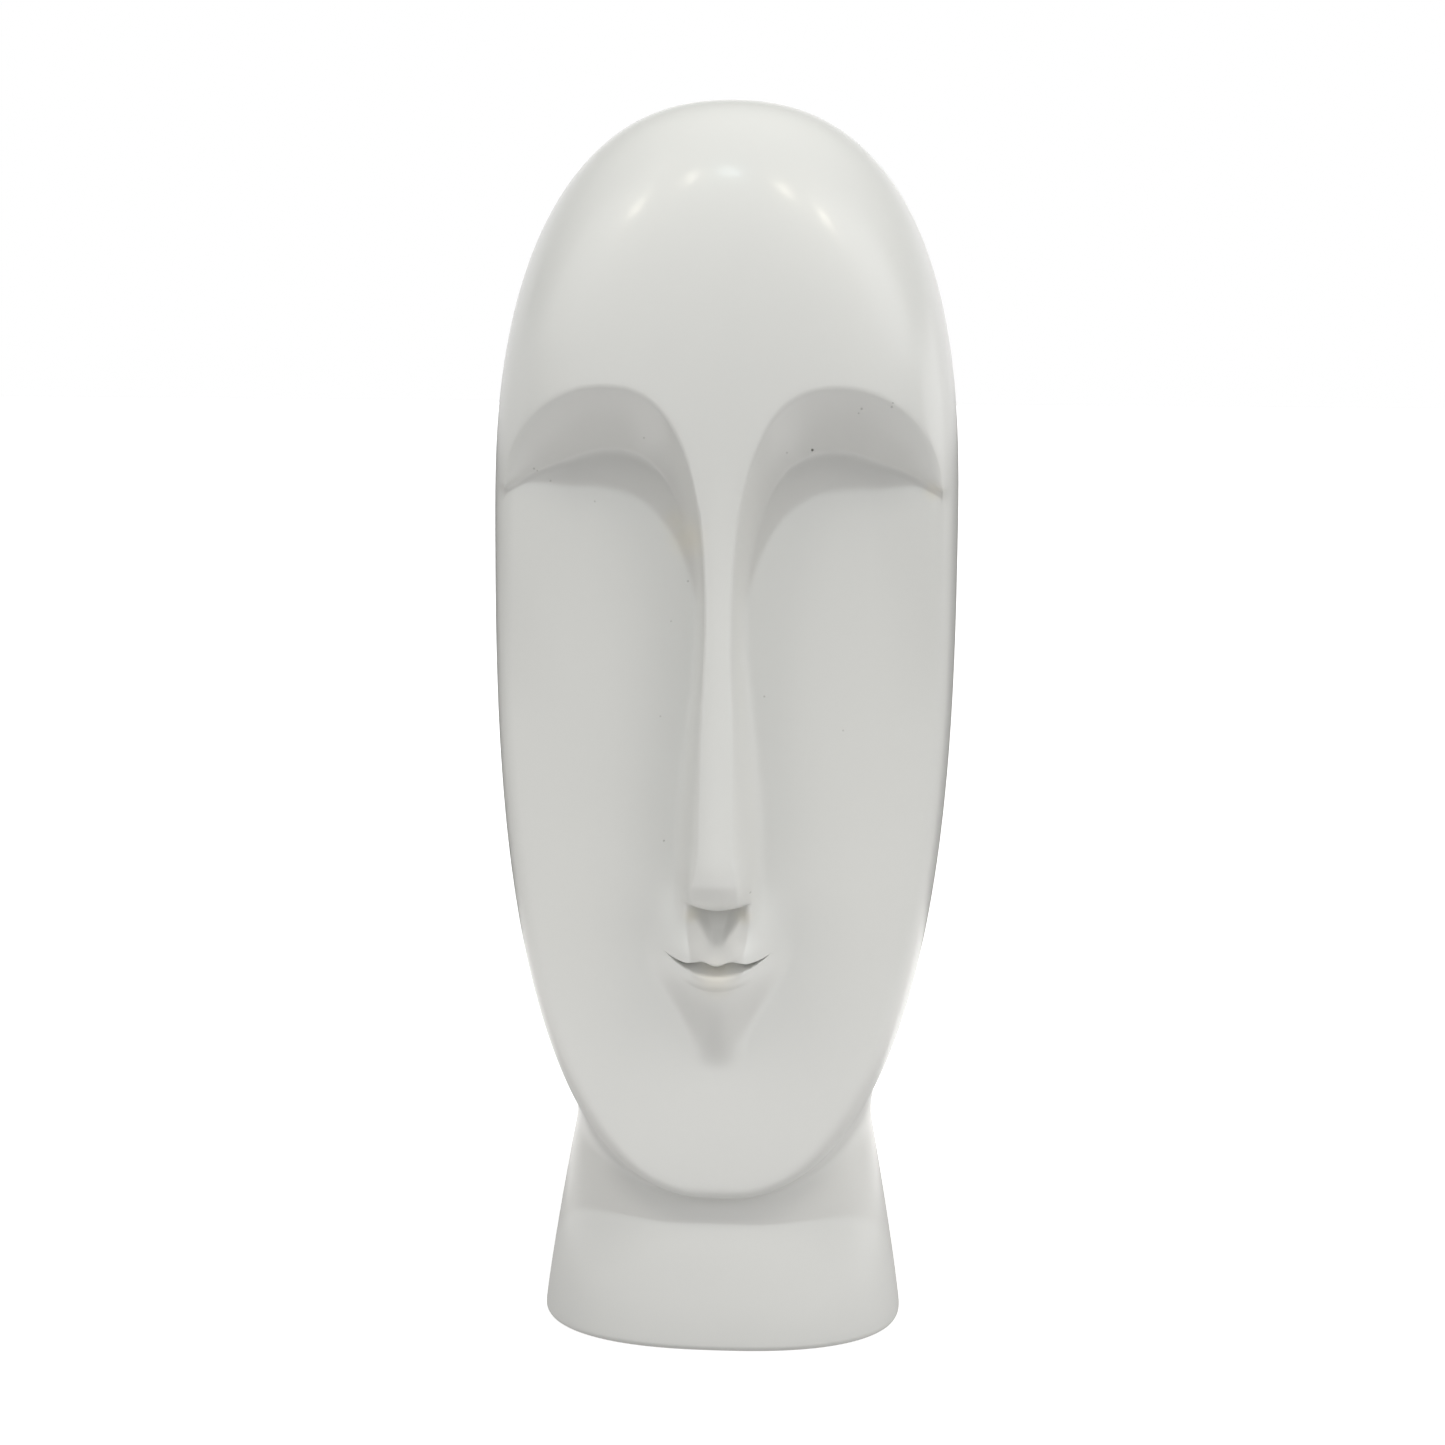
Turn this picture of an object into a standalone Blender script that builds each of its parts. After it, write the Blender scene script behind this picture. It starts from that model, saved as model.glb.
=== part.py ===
"""Abstract face sculpture: a tall egg-shaped head on a flared neck and foot, cast in one piece.

Metres, +Z up. The face looks towards -Y, and the origin is the middle of the foot's underside.

The surface is a loft of rings. A ring's height follows the lines of the face (chin, mouth, nose,
brow) where it crosses them, and its radius at each bearing is found from the forms below: the egg,
the neck, and the carving cut into the front of the egg. A bearing is the angle about the upright
axis, with 0 towards the face.
"""

import math

import bpy
import numpy as np

# Driving sizes
HEIGHT = 0.4045
HEAD_HALF_WIDTH = 0.0749
HEAD_HALF_DEPTH = 0.0530
FOOT_HALF_WIDTH = 0.0608
FOOT_HALF_DEPTH = 0.0442
WAIST_HALF_WIDTH = 0.0492
WAIST_HALF_DEPTH = 0.0318
FOOT_EDGE_RADIUS = 0.0022
UNDER_CHIN_RADIUS = 0.0030
BESIDE_CHIN_RADIUS = 0.0110
FACE_RIM_RADIUS = 0.0050
RIDGE_BLEND = 0.0030

# The egg: levels are shares of the height
WIDEST_LEVEL = 0.648 * HEIGHT
EGG_BOTTOM_LEVEL = 0.1232 * HEIGHT
SHOULDER_ROUNDNESS = 2.8
CROWN_ROUNDNESS = 2.33
JAW_ROUNDNESS = 2.6
FOREHEAD_ROUNDNESS = 2.5
CHIN_ROUNDNESS = 11.0
NAPE_ROUNDNESS = 3.2
FACE_SQUARENESS = 4.0
CROWN_SQUARENESS = 2.4
BACK_SQUARENESS = 2.7
SQUARE_UP_TO = 0.717 * HEIGHT

# The neck and foot
WAIST_LEVEL = 0.178 * HEIGHT
NECK_FLARE = 1.15
NECK_SQUARENESS = 2.35
FOOT_SQUARENESS = 2.40
NECK_TOP_LEVEL = 0.285 * HEIGHT
NECK_REACH = 1.6

# The two brow arches: places across the face are shares of the head's half width
ARCH_MIDDLE = 0.498 * HEAD_HALF_WIDTH
ARCH_CORNER = 0.921 * HEAD_HALF_WIDTH
BROW_TOP = 0.7743 * HEIGHT
CREASE_TOP = 0.7256 * HEIGHT
CORNER_LEVEL = 0.6950 * HEIGHT
CORNER_SOFTNESS = 0.004 * HEIGHT
BROW_INNER_END = 0.584 * HEIGHT
CREASE_INNER_END = 0.5946 * HEIGHT
BROW_OUTER_FORM = (2.0, 2.0)
CREASE_OUTER_FORM = (1.35, 1.0)
ARCH_INNER_FORM = (2.6, 2.6)
CEILING_CURVE = 0.25

# The nose: depths are shares of the head's half depth
RIDGE_HALF_WIDTH = 0.0541 * HEAD_HALF_WIDTH
RIDGE_SPREAD = 0.0127 * HEAD_HALF_WIDTH
TIP_SPREAD = 0.0470 * HEAD_HALF_WIDTH
BASE_HALF_WIDTH = 0.1335 * HEAD_HALF_WIDTH
BASE_SPREAD = 0.0900 * HEAD_HALF_WIDTH
NOSE_HALF_WIDTH = 0.1295 * HEAD_HALF_WIDTH
BRIDGE_LEVEL = 0.680 * HEIGHT
RIDGE_END_LEVEL = 0.4104 * HEIGHT
NOSE_BOTTOM = 0.3658 * HEIGHT
NOSE_BOTTOM_RISE = 0.0057 * HEIGHT
TIP_HEIGHT = 0.0445 * HEIGHT
TIP_ROUNDNESS = 2.4
BRIDGE_DEPTH = 0.990 * HEAD_HALF_DEPTH
TIP_DEPTH = 1.207 * HEAD_HALF_DEPTH
RIDGE_CROWN = 0.0750 * HEAD_HALF_DEPTH
NOSE_SIDE_HOLLOW = 2.2
NOSE_EDGE_ROUNDING = 1.2
FLANK_PLACE = (0.092 * HEAD_HALF_WIDTH, 0.150 * HEAD_HALF_WIDTH)
FLANK_FADE = (0.345 * HEIGHT, 0.420 * HEIGHT)

# The face plane
PLANE_TOP = 0.717 * HEIGHT
PLANE_BOTTOM = 0.148 * HEIGHT
PLANE_TOP_DEPTH = 0.7075 * HEAD_HALF_DEPTH
PLANE_BOTTOM_DEPTH = 0.789 * HEAD_HALF_DEPTH
PLANE_FALL = 0.066 * HEAD_HALF_DEPTH
PLANE_FALL_POWER = 3

# The mouth and the mound that it lies on
MOUTH_HALF_WIDTH = 0.223 * HEAD_HALF_WIDTH
UPPER_LIP_EDGE = 0.3231 * HEIGHT
LOWER_LIP_EDGE = 0.3145 * HEIGHT
MOUTH_CORNER = 0.3300 * HEIGHT
LIP_WAVE = 0.0028 * HEIGHT
LIP_WAVE_PLACE = 0.30
LIP_WAVE_REACH = 0.28
UPPER_LIP_POWER = 4.5
LOWER_LIP_POWER = 2.2
UPPER_LIP_HEIGHT = 0.0185 * HEIGHT
LOWER_LIP_HEIGHT = 0.0056 * HEIGHT
LOWER_LIP_FORM = (2.0, 1.3)
LOWER_LIP_HALF_WIDTH = 0.167 * HEAD_HALF_WIDTH
UPPER_LIP_RELIEF = 0.030 * HEAD_HALF_DEPTH
LOWER_LIP_RELIEF = 0.022 * HEAD_HALF_DEPTH
MOUTH_CUT = 0.088 * HEAD_HALF_DEPTH
MOUTH_CUT_HALF_WIDTH = 1.06 * MOUTH_HALF_WIDTH
MOUTH_CUT_FORM = (0.6, 4.0)
UPPER_LIP_HALF_WIDTH = 1.10 * MOUTH_HALF_WIDTH
LIP_EDGE_SOFTNESS = 0.0015 * HEIGHT
LEAST_GAP = 0.0008 * HEIGHT
PHILTRUM_DEPTH = 0.036 * HEAD_HALF_DEPTH
PHILTRUM_TOP = 0.105 * HEAD_HALF_WIDTH
PHILTRUM_FOOT = 0.035 * HEAD_HALF_WIDTH
PHILTRUM_FADE = (0.6, 1.2)
MOUND_LEVEL = 0.316 * HEIGHT
MOUND_RISE = 0.072 * HEIGHT
MOUND_FALL = 0.086 * HEIGHT
MOUND_HALF_WIDTH = 0.34 * HEAD_HALF_WIDTH
MOUND_DEPTH = 0.180 * HEAD_HALF_DEPTH

# How finely the surface is faceted: sections between one line of the face and the next
FOOT_EDGE_RINGS = 3
NECK_RINGS = 5
UNDER_CHIN_RINGS = 3
CHIN_RINGS = 4
JAW_RINGS = 8
LOWER_LIP_RINGS = 4
MOUTH_RINGS = 2
UPPER_LIP_RINGS = 3
PHILTRUM_RINGS = 3
TIP_RINGS = 6
CHEEK_RINGS = 10
CEILING_RINGS = 4
FOREHEAD_RINGS = 4
CROWN_RINGS = 11
BEARING_STOPS = (0, 4.5, 17, 50, 62, 74, 90, 108, 145, 180)
BEARING_STEPS = (2, 6, 8, 7, 2, 2, 1, 4, 2)
CHIN_RISE = 0.037 * HEIGHT
UNDER_LIP_DROP = 0.014 * HEIGHT
MOUTH_RING_GAP = 0.0015 * HEIGHT
SIDE_RING_GAP = 0.010 * HEIGHT
CREASE_RING_LOWEST = 0.682 * HEIGHT
BROW_RING_LOWEST = 0.712 * HEIGHT
CROWN_START = 0.82 * HEIGHT
STRAIGHT_FROM = 0.38 * HEIGHT
STRAIGHT_TO = 0.52 * HEIGHT
FOLLOW_PASSES = 12
HALVINGS = 30
TINY = 1e-6

COLOUR = (0.70, 0.70, 0.68, 1.0)
ROUGHNESS = 0.38


def smooth_step(start, end, value):
    """0 at start, 1 at end, level at both."""
    share = np.clip((value - start) / (end - start), 0, 1)
    return share * share * (3 - 2 * share)


def bump(share):
    """1 at 0, falling smoothly to 0 at -1 and 1."""
    share = np.clip(share, -1, 1)
    return (1 - share * share) ** 2


def smooth_larger(first, second, blend):
    """The larger of two values, rounded over where they are within blend of each other."""
    share = np.clip(0.5 + 0.5 * (first - second) / blend, 0, 1)
    return second + (first - second) * share + blend * share * (1 - share)


def smooth_smaller(first, second, blend):
    return -smooth_larger(-first, -second, blend)


def rounded(share, roundness, end_roundness=None):
    """1 at share 0, falling to 0 at share 1 as a superellipse does."""
    left = 1 - np.clip(np.abs(share), 0, 1) ** roundness
    return left ** (1 / (end_roundness or roundness))


def section_radius(bearing, half_width, half_depth, squareness):
    """How far out a superellipse of these half sizes lies at a bearing."""
    across = np.abs(np.sin(bearing)) / np.maximum(half_width, TINY)
    along = np.abs(np.cos(bearing)) / np.maximum(half_depth, TINY)
    return (across**squareness + along**squareness) ** (-1 / squareness)


def share_up(level):
    return np.clip((level - WIDEST_LEVEL) / (HEIGHT - WIDEST_LEVEL), 0, 1)


def share_down(level):
    return np.clip((WIDEST_LEVEL - level) / (WIDEST_LEVEL - EGG_BOTTOM_LEVEL), 0, 1)


def head_half_width(level):
    above = rounded(share_up(level), SHOULDER_ROUNDNESS, CROWN_ROUNDNESS)
    return HEAD_HALF_WIDTH * above * rounded(share_down(level), JAW_ROUNDNESS)


def head_half_depth(level, roundness):
    above = rounded(share_up(level), FOREHEAD_ROUNDNESS)
    return HEAD_HALF_DEPTH * above * rounded(share_down(level), roundness)


def head_squareness(level):
    return FACE_SQUARENESS + (CROWN_SQUARENESS - FACE_SQUARENESS) * smooth_step(SQUARE_UP_TO, HEIGHT, level)


def egg_radius(bearing, level):
    at_front = head_half_depth(level, CHIN_ROUNDNESS)
    at_back = head_half_depth(level, NAPE_ROUNDNESS)
    in_front = np.cos(bearing) > 0
    half_depth = np.where(in_front, at_front, at_back)
    squareness = head_squareness(level)
    squareness = np.where(in_front, squareness, np.minimum(squareness, BACK_SQUARENESS))
    return section_radius(bearing, head_half_width(level), half_depth, squareness)


def neck_radius(bearing, level):
    """The neck narrows from the foot to the waist, and its lower edge is a quarter round."""
    share = np.clip(level / WAIST_LEVEL, 0, NECK_REACH) ** NECK_FLARE
    half_width = FOOT_HALF_WIDTH + (WAIST_HALF_WIDTH - FOOT_HALF_WIDTH) * share
    half_depth = FOOT_HALF_DEPTH + (WAIST_HALF_DEPTH - FOOT_HALF_DEPTH) * share
    squareness = FOOT_SQUARENESS + (NECK_SQUARENESS - FOOT_SQUARENESS) * np.clip(share, 0, 1)
    below = np.clip(1 - level / FOOT_EDGE_RADIUS, 0, 1)
    inset = FOOT_EDGE_RADIUS * (1 - np.sqrt(1 - below * below))
    return section_radius(bearing, half_width, half_depth, squareness) - inset


def egg_front(across, level):
    """How far forward the uncut egg lies."""
    share = across / np.maximum(head_half_width(level), TINY)
    squareness = head_squareness(level)
    return head_half_depth(level, CHIN_ROUNDNESS) * rounded(share, squareness)


def ridge_half_width(level):
    along = smooth_step(BROW_INNER_END, (BROW_INNER_END + RIDGE_END_LEVEL) / 2, level)
    at_tip = smooth_step(RIDGE_END_LEVEL + TIP_HEIGHT / 3, NOSE_BOTTOM, level)
    return RIDGE_HALF_WIDTH + RIDGE_SPREAD * along + TIP_SPREAD * at_tip


def base_half_width(level):
    return BASE_HALF_WIDTH + BASE_SPREAD * smooth_step(CREASE_INNER_END, RIDGE_END_LEVEL, level)


def arch_parts(across, top, inner_end, inner_half_width, outer_form):
    """An arch's half span, foot level and two powers, which differ on its two sides."""
    outer = across > ARCH_MIDDLE
    half_span = np.where(outer, ARCH_CORNER - ARCH_MIDDLE, ARCH_MIDDLE - inner_half_width)
    foot = np.where(outer, CORNER_LEVEL, inner_end)
    side_power = np.where(outer, outer_form[0], ARCH_INNER_FORM[0])
    rise_power = np.where(outer, outer_form[1], ARCH_INNER_FORM[1])
    return np.abs(across - ARCH_MIDDLE) / half_span, foot, side_power, rise_power


def arch_reach(across, level, top, inner_end, inner_half_width, outer_form):
    """1 on an arch from the nose up over the eye and down to the corner, less inside it, and its
    height above its foot."""
    sideways, foot, side_power, rise_power = arch_parts(across, top, inner_end, inner_half_width, outer_form)
    upward = np.maximum(level - foot, 0) / (top - foot)
    return (sideways**side_power + upward**rise_power) ** (1 / rise_power), top - foot


def ceiling_share(across, level):
    """0 on the face plane, 1 on the uncut egg, and in between on the slope that joins the crease
    to the brow's edge and runs on down as the side of the nose."""
    ridge = ridge_half_width(level)
    base = base_half_width(level)
    brow, brow_tall = arch_reach(across, level, BROW_TOP, BROW_INNER_END, ridge, BROW_OUTER_FORM)
    crease, crease_tall = arch_reach(across, level, CREASE_TOP, CREASE_INNER_END, base, CREASE_OUTER_FORM)
    below_brow = np.maximum((1 - brow) * brow_tall, 0)
    above_crease = np.maximum((crease - 1) * crease_tall, 0)
    share = above_crease / np.maximum(above_crease + below_brow, TINY)
    share = np.where(below_brow <= 0, 1, share)
    beside_nose = smooth_step(CREASE_TOP, CREASE_INNER_END, level) * (across < ARCH_MIDDLE)
    down_nose = smooth_step(CREASE_INNER_END, RIDGE_END_LEVEL, level) * (across < ARCH_MIDDLE)
    share = share ** (1 + NOSE_SIDE_HOLLOW * beside_nose)
    share = 1 - (1 - share) ** (1 + NOSE_EDGE_ROUNDING * down_nose)
    over_corner = smooth_step(CORNER_LEVEL - CORNER_SOFTNESS, CORNER_LEVEL + CORNER_SOFTNESS, level)
    share = np.where(across > ARCH_MIDDLE, share * over_corner, share)
    return share + CEILING_CURVE * share * (1 - share)


def upper_lip_edge(across):
    share = np.clip(across / MOUTH_HALF_WIDTH, 0, 1)
    wave = LIP_WAVE * bump((share - LIP_WAVE_PLACE) / LIP_WAVE_REACH)
    return UPPER_LIP_EDGE + (MOUTH_CORNER - UPPER_LIP_EDGE) * share**UPPER_LIP_POWER + wave


def lower_lip_edge(across):
    share = np.clip(across / MOUTH_HALF_WIDTH, 0, 1)
    return LOWER_LIP_EDGE + (MOUTH_CORNER - LOWER_LIP_EDGE) * share**LOWER_LIP_POWER


def lips(across, level):
    """The lips' own relief on the mound: two rolls, and the mouth cut between them, deepest under the
    upper lip."""
    upper_edge = upper_lip_edge(across)
    lower_edge = lower_lip_edge(across)
    over = smooth_step(upper_edge - LIP_EDGE_SOFTNESS, upper_edge + LIP_EDGE_SOFTNESS, level)
    up_the_gap = np.clip((level - lower_edge) / np.maximum(upper_edge - lower_edge, LEAST_GAP), 0, 1)
    upper = over * bump((level - upper_edge) / UPPER_LIP_HEIGHT) * bump(across / UPPER_LIP_HALF_WIDTH)
    lower_roll = rounded((level - lower_edge + LOWER_LIP_HEIGHT) / LOWER_LIP_HEIGHT, *LOWER_LIP_FORM)
    lower = lower_roll * bump(across / LOWER_LIP_HALF_WIDTH)
    to_corner = np.clip(across / MOUTH_CUT_HALF_WIDTH, 0, 1)
    cut = up_the_gap ** MOUTH_CUT_FORM[0] * (1 - over) * (1 - to_corner ** MOUTH_CUT_FORM[1])
    return UPPER_LIP_RELIEF * upper + LOWER_LIP_RELIEF * lower - MOUTH_CUT * cut


def philtrum(across, level):
    """The groove from the nose to the upper lip, which narrows on the way down."""
    down = (NOSE_BOTTOM - level) / (NOSE_BOTTOM - UPPER_LIP_EDGE - UPPER_LIP_HEIGHT)
    half_width = PHILTRUM_TOP + (PHILTRUM_FOOT - PHILTRUM_TOP) * np.clip(down, 0, 1)
    fade = smooth_step(-1, 0, down) * (1 - smooth_step(*PHILTRUM_FADE, down))
    return PHILTRUM_DEPTH * bump(across / half_width) * fade


def face_plane(across, level):
    """The carved-back plane of the cheeks, a little crowned, with the mound of the mouth on it."""
    down = (PLANE_TOP - level) / (PLANE_TOP - PLANE_BOTTOM)
    plane = PLANE_TOP_DEPTH + (PLANE_BOTTOM_DEPTH - PLANE_TOP_DEPTH) * down
    plane = plane - PLANE_FALL * (across / ARCH_CORNER) ** PLANE_FALL_POWER
    reach = np.where(level > MOUND_LEVEL, MOUND_RISE, MOUND_FALL)
    mound = bump((level - MOUND_LEVEL) / reach) * bump(across / MOUND_HALF_WIDTH)
    return plane + MOUND_DEPTH * mound + lips(across, level) - philtrum(across, level)


def nose_bottom(across):
    return NOSE_BOTTOM + NOSE_BOTTOM_RISE * np.clip(across / NOSE_HALF_WIDTH, 0, 1) ** 2


def front(across, level):
    """How far forward the finished face lies, at a place across it and a level up it. The nose's
    tip ends in a quarter round, and its flanks fade out over a longer way down."""
    across = np.abs(across)
    egg = egg_front(across, level)
    plane = smooth_smaller(face_plane(across, level), egg, FACE_RIM_RADIUS)
    down = (BRIDGE_LEVEL - level) / (BRIDGE_LEVEL - RIDGE_END_LEVEL)
    ridge = BRIDGE_DEPTH + (TIP_DEPTH - BRIDGE_DEPTH) * down
    ridge = ridge - RIDGE_CROWN * (across / BASE_HALF_WIDTH) ** 2
    crest = np.where(level < BROW_TOP, smooth_larger(egg, ridge, RIDGE_BLEND), egg)
    up_from_bottom = (level - nose_bottom(across)) / TIP_HEIGHT
    tip = np.where(up_from_bottom > 0, rounded(1 - np.clip(up_from_bottom, 0, 1), TIP_ROUNDNESS), 0)
    tip = tip + (smooth_step(*FLANK_FADE, level) - tip) * smooth_step(*FLANK_PLACE, across)
    return plane + (crest - plane) * ceiling_share(across, level) * tip


def carved_radius(bearing, level):
    """Where a ray from the axis comes out of the carved front, found by halving the distance."""
    sine = np.sin(bearing)
    cosine = np.cos(bearing)
    inner = np.zeros_like(sine * level)
    outer = np.full_like(inner, 2 * HEAD_HALF_DEPTH)
    for _ in range(HALVINGS):
        middle = (inner + outer) / 2
        outside = middle * cosine > front(middle * sine, level)
        outer = np.where(outside, middle, outer)
        inner = np.where(outside, inner, middle)
    return (inner + outer) / 2


def ray_radius(bearing, level):
    """Where a ray from the axis comes out of the head and neck."""
    in_front = np.cos(bearing) > TINY
    head = np.where(in_front, carved_radius(bearing, level), egg_radius(bearing, level))
    head = np.where(level > EGG_BOTTOM_LEVEL, head, 0)
    blend = UNDER_CHIN_RADIUS + (BESIDE_CHIN_RADIUS - UNDER_CHIN_RADIUS) * np.sin(bearing) ** 2
    joined = smooth_larger(head, neck_radius(bearing, level), blend)
    return np.where(level < NECK_TOP_LEVEL, joined, head)


def surface(bearing, level):
    """Across and along places of the surface. Low down a point lies on its ray. Higher up it lies
    straight behind the ray's point on the uncut egg, so that the brows can be undercut."""
    radius = ray_radius(bearing, level)
    straight = smooth_step(STRAIGHT_FROM, STRAIGHT_TO, level)
    across = radius + (egg_radius(bearing, level) - radius) * straight
    across = across * np.sin(bearing)
    carved = (np.cos(bearing) > TINY) & (level > NECK_TOP_LEVEL)
    along = np.where(carved, front(across, level), radius * np.cos(bearing))
    return across, -along


def jaw_line(bearing):
    """The level at which the egg comes out of the neck, at each bearing."""
    low = np.full_like(bearing, EGG_BOTTOM_LEVEL)
    high = np.full_like(bearing, NECK_TOP_LEVEL)
    for _ in range(HALVINGS):
        middle = (low + high) / 2
        clear = egg_radius(bearing, middle) > neck_radius(bearing, middle)
        high = np.where(clear, middle, high)
        low = np.where(clear, low, middle)
    return (low + high) / 2


def arch_line(across, top, inner_end, inner_half_width, outer_form, lowest):
    """An arch's level over a place across the face, and lowest where the arch is below that."""
    sideways, foot, side_power, rise_power = arch_parts(across, top, inner_end, inner_half_width, outer_form)
    left = 1 - np.clip(sideways, 0, 1) ** side_power
    return np.maximum(foot + (top - foot) * left ** (1 / rise_power), lowest)


def even(count):
    return np.arange(count) / count


def follow(line, bearing, start):
    """The levels at which the surface crosses a line that is given by its level over each place."""
    level = np.full_like(bearing, start)
    for _ in range(FOLLOW_PASSES):
        across, _ = surface(bearing, level)
        place = np.where(np.cos(bearing) > TINY, np.abs(across), HEAD_HALF_WIDTH)
        level = (level + line(place)) / 2
    return level


def crease_line(across):
    lowest = CREASE_RING_LOWEST
    return arch_line(across, CREASE_TOP, CREASE_INNER_END, BASE_HALF_WIDTH, CREASE_OUTER_FORM, lowest)


def brow_line(across):
    return arch_line(across, BROW_TOP, BROW_INNER_END, RIDGE_HALF_WIDTH, BROW_OUTER_FORM, BROW_RING_LOWEST)


def ring_levels(bearing):
    """Every ring's level at every bearing."""
    flat = np.zeros_like(bearing)
    jaw = jaw_line(bearing)
    upper_edge = follow(upper_lip_edge, bearing, UPPER_LIP_EDGE)
    lower_edge = follow(lower_lip_edge, bearing, LOWER_LIP_EDGE)
    across, _ = surface(bearing, lower_edge)
    side = np.where(np.cos(bearing) > TINY, np.abs(across), HEAD_HALF_WIDTH)
    apart = MOUTH_RING_GAP + SIDE_RING_GAP * smooth_step(MOUTH_HALF_WIDTH, 3 * MOUTH_HALF_WIDTH, side)
    upper_edge = upper_edge + apart
    lower_edge = lower_edge - apart
    nose = follow(nose_bottom, bearing, NOSE_BOTTOM)
    crease = follow(crease_line, bearing, CREASE_TOP)
    brow = follow(brow_line, bearing, BROW_TOP)
    edge_turn = 1 - np.cos(math.pi / 2 * even(FOOT_EDGE_RINGS))
    tip_turn = 1 - np.cos(math.pi / 2 * even(TIP_RINGS))
    bands = (
        (flat, edge_turn),
        (flat + FOOT_EDGE_RADIUS, even(NECK_RINGS)),
        (jaw - UNDER_CHIN_RADIUS, even(UNDER_CHIN_RINGS)),
        (jaw + UNDER_CHIN_RADIUS / 2, even(CHIN_RINGS)),
        (jaw + CHIN_RISE, even(JAW_RINGS)),
        (lower_edge - UNDER_LIP_DROP, even(LOWER_LIP_RINGS)),
        (lower_edge, even(MOUTH_RINGS)),
        (upper_edge, even(UPPER_LIP_RINGS)),
        (upper_edge + UPPER_LIP_HEIGHT, even(PHILTRUM_RINGS)),
        (nose, tip_turn),
        (nose + TIP_HEIGHT, even(CHEEK_RINGS)),
        (crease, even(CEILING_RINGS)),
        (brow, even(FOREHEAD_RINGS)),
        (flat + CROWN_START, ()),
    )
    rows = []
    for (start, shares), (end, _) in zip(bands, bands[1:]):
        rows.extend(start + (end - start) * share for share in shares)
    first_turn = math.asin(share_up(CROWN_START) ** (SHOULDER_ROUNDNESS / 2))
    for step in range(CROWN_RINGS):
        turn = first_turn + (math.pi / 2 - first_turn) * step / CROWN_RINGS
        share = math.sin(turn) ** (2 / SHOULDER_ROUNDNESS)
        rows.append(flat + WIDEST_LEVEL + (HEIGHT - WIDEST_LEVEL) * share)
    return np.array(rows)


def bearings():
    """All the way round from behind, closer together where the face has detail."""
    half = [0.0]
    for start, end, steps in zip(BEARING_STOPS, BEARING_STOPS[1:], BEARING_STEPS):
        half.extend(start + (end - start) * (step + 1) / steps for step in range(steps))
    half = np.radians(half)
    return np.concatenate([-half[:0:-1], half[:-1]])


def loft():
    """The points of every ring, from the foot's edge to the crown."""
    bearing = bearings()
    level = ring_levels(bearing)
    bearing = np.broadcast_to(bearing, level.shape)
    across, along = surface(bearing, level)
    return np.stack([across, along, level], axis=-1)


def plaster_white(name):
    material = bpy.data.materials.new(name)
    material.use_nodes = True
    shader = material.node_tree.nodes["Principled BSDF"]
    shader.inputs["Base Color"].default_value = COLOUR
    shader.inputs["Roughness"].default_value = ROUGHNESS
    shader.inputs["Metallic"].default_value = 0.0
    return material


def face_sculpture(collection):
    points = loft()
    rings, around, _ = points.shape
    crown = rings * around
    vertices = [tuple(point) for point in points.reshape(-1, 3)] + [(0.0, 0.0, HEIGHT)]
    faces = [tuple(range(around - 1, -1, -1))]
    for ring in range(rings - 1):
        for step in range(around):
            after = (step + 1) % around
            low = ring * around
            high = low + around
            faces.append((low + step, low + after, high + after, high + step))
    top = crown - around
    faces.extend((top + step, top + (step + 1) % around, crown) for step in range(around))
    mesh = bpy.data.meshes.new("face_sculpture")
    mesh.from_pydata(vertices, [], faces)
    mesh.materials.append(plaster_white("satin_white"))
    mesh.shade_smooth()
    mesh.set_sharp_from_angle(angle=math.radians(50))
    mesh.update()
    body = bpy.data.objects.new("face_sculpture", mesh)
    collection.objects.link(body)
    return body


def main():
    for item in list(bpy.data.objects):
        bpy.data.objects.remove(item, do_unlink=True)
    collection = bpy.data.collections.new("abstract_face_sculpture")
    bpy.context.scene.collection.children.link(collection)
    face_sculpture(collection)


main()
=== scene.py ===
"""Satin white abstract face sculpture on a pale studio floor.

The file is laid out as an add-on and is run as a script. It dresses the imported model: the head,
neck and foot are one cast piece, so one fine surface with the cast's own finish stands for it.
"""

import math

import bpy
import numpy as np
from bpy.props import FloatProperty, FloatVectorProperty, PointerProperty
from mathutils import Matrix, Vector


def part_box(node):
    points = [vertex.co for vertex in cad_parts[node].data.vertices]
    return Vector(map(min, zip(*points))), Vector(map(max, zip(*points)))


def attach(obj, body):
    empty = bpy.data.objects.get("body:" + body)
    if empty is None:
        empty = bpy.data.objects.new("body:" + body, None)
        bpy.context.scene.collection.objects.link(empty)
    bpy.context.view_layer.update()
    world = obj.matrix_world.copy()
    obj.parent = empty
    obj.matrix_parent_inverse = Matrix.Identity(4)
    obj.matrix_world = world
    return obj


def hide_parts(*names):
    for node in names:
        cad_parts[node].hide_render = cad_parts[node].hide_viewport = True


bl_info = {
    "name": "Abstract Face Sculpture",
    "version": (1, 0, 0),
    "blender": (4, 5, 0),
    "location": "View3D > Sidebar > Sculpture",
    "description": "Builds a satin white abstract face on a flared neck, with its studio",
    "category": "Object",
}

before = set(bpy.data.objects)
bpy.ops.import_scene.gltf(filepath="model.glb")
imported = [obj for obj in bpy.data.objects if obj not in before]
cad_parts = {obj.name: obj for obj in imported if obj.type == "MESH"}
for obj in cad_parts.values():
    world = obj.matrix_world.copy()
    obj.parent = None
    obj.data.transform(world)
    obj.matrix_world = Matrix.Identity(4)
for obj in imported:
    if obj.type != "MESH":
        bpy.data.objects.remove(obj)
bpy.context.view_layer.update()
NODE = "face_sculpture"
BODY = "root"
LOW_CORNER, HIGH_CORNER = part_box(NODE)

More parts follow.
